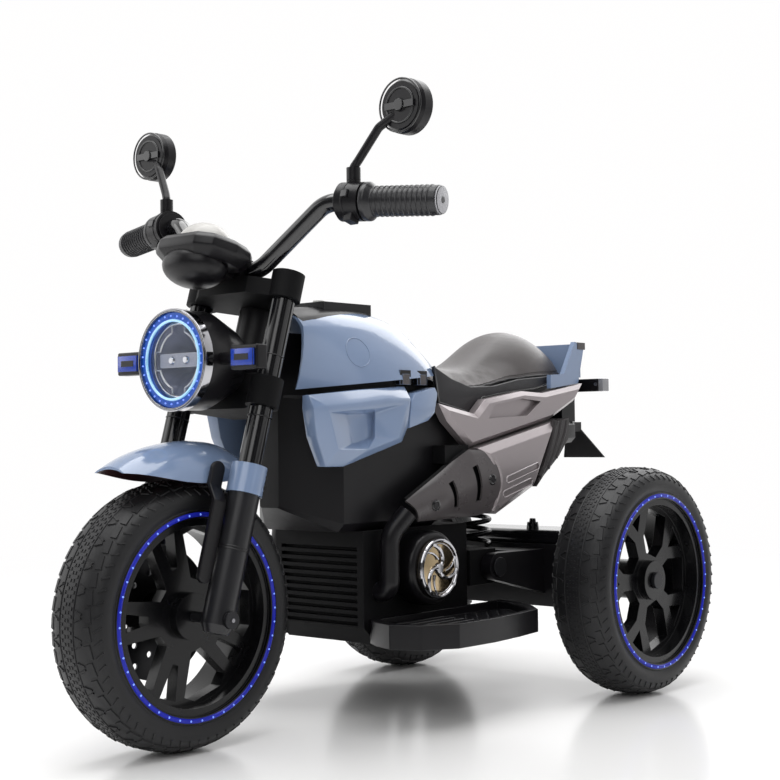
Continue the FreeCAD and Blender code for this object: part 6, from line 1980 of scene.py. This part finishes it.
@dataclass
class Studio:
    """Floor, light and the photograph's camera.

    Attributes:
        azimuth: The camera's turn from straight ahead of the bike, in degrees.
        elevation: Its height over the target in degrees.
        distance: Its distance from the target in metres.
        target: The point that it looks at.
        roll: Its lean in degrees.
        lens: Its focal length in millimetres.
        lamps: Name, place, size and power of each lamp.
    """

    azimuth: float = 41.2
    elevation: float = -1.7
    distance: float = 1.9442
    target: Point = (0.0, 0.0327, 0.4057)
    roll: float = 0.7
    lens: float = 68.73
    lamps: tuple[tuple[str, Point, float, float], ...] = (
        ("top", (0.0, -0.2, 3.2), 3.0, 84), ("key", (1.2, -2.6, 2.4), 2.2, 26), ("side", (2.8, 0.4, 1.6), 2.0, 7),
        ("front", (-2.2, -2.0, 1.4), 2.2, 16), ("back", (-0.6, 2.8, 2.4), 2.4, 34))

    def build(self) -> None:
        """Build the whole studio."""
        self.build_camera()
        self.build_floor()
        self.build_world()
        for lamp in self.lamps:
            self.build_lamp(*lamp)
        bpy.context.scene.view_settings.view_transform = "Standard"

    def build_camera(self) -> None:
        """Set the camera at the photograph's view."""
        a, e, r = (math.radians(value) for value in (self.azimuth, self.elevation, self.roll))
        back = Vector((math.sin(a) * math.cos(e), -math.cos(a) * math.cos(e), math.sin(e)))
        right = Vector((math.cos(a), math.sin(a), 0.0))
        up = back.cross(right)
        turned_right = right * math.cos(r) - up * math.sin(r)
        turned_up = up * math.cos(r) + right * math.sin(r)
        data = bpy.data.cameras.new("camera")
        data.lens = self.lens
        data.sensor_width = 36.0
        data.clip_start, data.clip_end = 0.05, 60.0
        camera = link_object("camera", data)
        turn = Matrix((turned_right, turned_up, back)).transposed().to_4x4()
        camera.matrix_world = Matrix.Translation(Vector(self.target) + back * self.distance) @ turn
        bpy.context.scene.camera = camera

    def build_floor(self) -> None:
        """Lay a large pale floor with a faint sheen."""
        work = bmesh.new()
        bmesh.ops.create_grid(work, x_segments=1, y_segments=1, size=14.0)
        mesh = bpy.data.meshes.new("floor")
        work.to_mesh(mesh)
        work.free()
        floor = link_object("floor", mesh)
        made = bpy.data.materials.new("pale_floor")
        made.use_nodes = True
        sheet = NodeSheet(made.node_tree)
        shader = made.node_tree.nodes["Principled BSDF"]
        place = sheet.add("ShaderNodeTexCoord").outputs["Object"]
        faint = sheet.add("ShaderNodeTexNoise", Vector=place, Scale=2.0, Detail=3.0).outputs["Fac"]
        ramp = sheet.add("ShaderNodeMapRange", To_Min=0.14, To_Max=0.22)
        sheet.set(ramp, "Value", faint)
        sheet.set(shader, "Roughness", ramp.outputs[0])
        shader.inputs["Base Color"].default_value = (0.97, 0.965, 0.96, 1.0)
        mesh.materials.append(made)
        self.fade(sheet, shader, place)

    @staticmethod
    def fade(sheet: NodeSheet, shader: bpy.types.Node, place: Socket) -> None:
        """Let the far floor pass into the white behind it, for the camera only.

        Args:
            sheet: The floor's nodes.
            shader: The floor's shader.
            place: Coordinates on the floor.
        """
        far = sheet.add("ShaderNodeVectorMath", operation="LENGTH")
        sheet.set(far, 0, place)
        share = sheet.add("ShaderNodeMapRange", From_Min=0.9, From_Max=2.6, interpolation_type="SMOOTHSTEP")
        sheet.set(share, "Value", far.outputs["Value"])
        seen = sheet.add("ShaderNodeLightPath").outputs["Is Camera Ray"]
        white = sheet.add("ShaderNodeEmission", Color=(1.0, 0.995, 0.995, 1.0), Strength=1.0)
        mixed = sheet.add("ShaderNodeMixShader")
        sheet.set(mixed, 0, sheet.math("MULTIPLY", share.outputs[0], seen))
        sheet.set(mixed, 1, shader.outputs[0])
        sheet.set(mixed, 2, white.outputs[0])
        end = next(node for node in sheet.tree.nodes if node.type == "OUTPUT_MATERIAL")
        sheet.set(end, "Surface", mixed.outputs[0])

    def build_world(self) -> None:
        """Fill the room with soft white light, white behind the bike and dim behind the camera."""
        world = bpy.data.worlds.new("studio")
        bpy.context.scene.world = world
        world.use_nodes = True
        sheet = NodeSheet(world.node_tree)
        world.node_tree.nodes.clear()
        path = sheet.add("ShaderNodeLightPath")
        side = sheet.add("ShaderNodeVectorMath", operation="DOT_PRODUCT")
        sheet.set(side, 0, sheet.add("ShaderNodeTexCoord").outputs["Generated"])
        sheet.set(side, 1, (0.66, -0.75, 0.0))
        room = sheet.add("ShaderNodeMapRange", From_Min=-0.35, From_Max=0.45, To_Min=1.0, To_Max=0.1)
        sheet.set(room, "Value", side.outputs["Value"])
        mirrored = sheet.math("MULTIPLY", path.outputs["Is Glossy Ray"], room.outputs[0])
        clear = sheet.math("MAXIMUM", path.outputs["Is Camera Ray"], path.outputs["Is Transmission Ray"])
        lit = sheet.add("ShaderNodeBackground", Color=(1.0, 1.0, 1.0, 1.0))
        sheet.set(lit, "Strength", sheet.math("MULTIPLY", path.outputs["Is Diffuse Ray"], 0.4))
        shown = sheet.add("ShaderNodeBackground", Color=(1.0, 0.995, 0.995, 1.0))
        sheet.set(shown, "Strength", sheet.math("MAXIMUM", mirrored, clear))
        both = sheet.add("ShaderNodeAddShader")
        sheet.set(both, 0, lit.outputs[0])
        sheet.set(both, 1, shown.outputs[0])
        end = sheet.add("ShaderNodeOutputWorld")
        sheet.set(end, "Surface", both.outputs[0])

    @staticmethod
    def build_lamp(name: str, place: Point, size: float, power: float) -> None:
        """Hang a soft lamp that faces the bike.

        Args:
            name: The lamp's name.
            place: Its place in metres.
            size: Its side in metres.
            power: Its power in watts.
        """
        data = bpy.data.lights.new(name, "AREA")
        data.shape = "SQUARE"
        data.size = size
        data.energy = power
        lamp = link_object(name, data)
        lamp.location = place
        lamp.rotation_euler = (Vector(place) - Vector((0, 0, 0.35))).to_track_quat("Z", "Y").to_euler()


PLAIN_NODES: dict[str, tuple[Look, float]] = {
    "neck_tube": (Look.STEEL, 0.0), "electrics": (Look.BLACK, 1.0),
}


def both_sides(place: Sequence[float], way: Sequence[float]) -> tuple[tuple[Point, Point], ...]:
    """Give a place and its direction on the bike's left and right."""
    return tuple(((sign * place[0], place[1], place[2]), (sign * way[0], way[1], way[2])) for _, sign in HANDS)


def build_screws() -> None:
    """Place the screws of the fork collars, the front axle's ends and the rear signals."""
    lean = math.radians(COLLAR_SCREW_DEG)
    side = Vector((math.cos(lean), math.sin(lean), 0.0))
    collar = on_fork(Vector((Fork.half_width, 0.0, COLLAR_HEIGHT)) + side * COLLAR_RADIUS) / MM
    end = max(vertex.co.x for vertex in frame["nodes"]["front_axle"].data.vertices) / MM
    axle_end = (end, FRONT_AXLE[1] / MM, FRONT_AXLE[2] / MM)
    Fasteners("steering", both_sides(collar, FORK_WAY @ side), Look.BLACK).build()
    Fasteners("steering", both_sides(axle_end, (1, 0, 0)), Look.STEEL, 2.6).build()
    Fasteners("chassis", both_sides(REAR_SIGNAL, (0, -1, 0)), Look.STEEL, 2.8).build()


def main() -> None:
    """Build the bike's sub-assemblies and the studio."""
    logging.basicConfig(level=logging.INFO)
    Wheel(FRONT_AXLE, "front_tyre", "front_rim", "front_light_rings", (-1, 1)).build()
    across, along, up = REAR_AXLE
    for hand, sign in HANDS:
        Wheel((sign * across, along, up), f"rear_tyre_{hand}", f"rear_rim_{hand}", f"rear_light_ring_{hand}",
              (sign,)).build()
    for node, (look, bevel) in PLAIN_NODES.items():
        dress(node, look, bevel)
    for assembly in (Fork(), Headlight(), Cockpit(), Bodywork(), Power(), Tail(), Drive(), Footboards(), Seat(),
                     Studio()):
        assembly.build()
    build_screws()


if __name__ == "__main__":
    main()
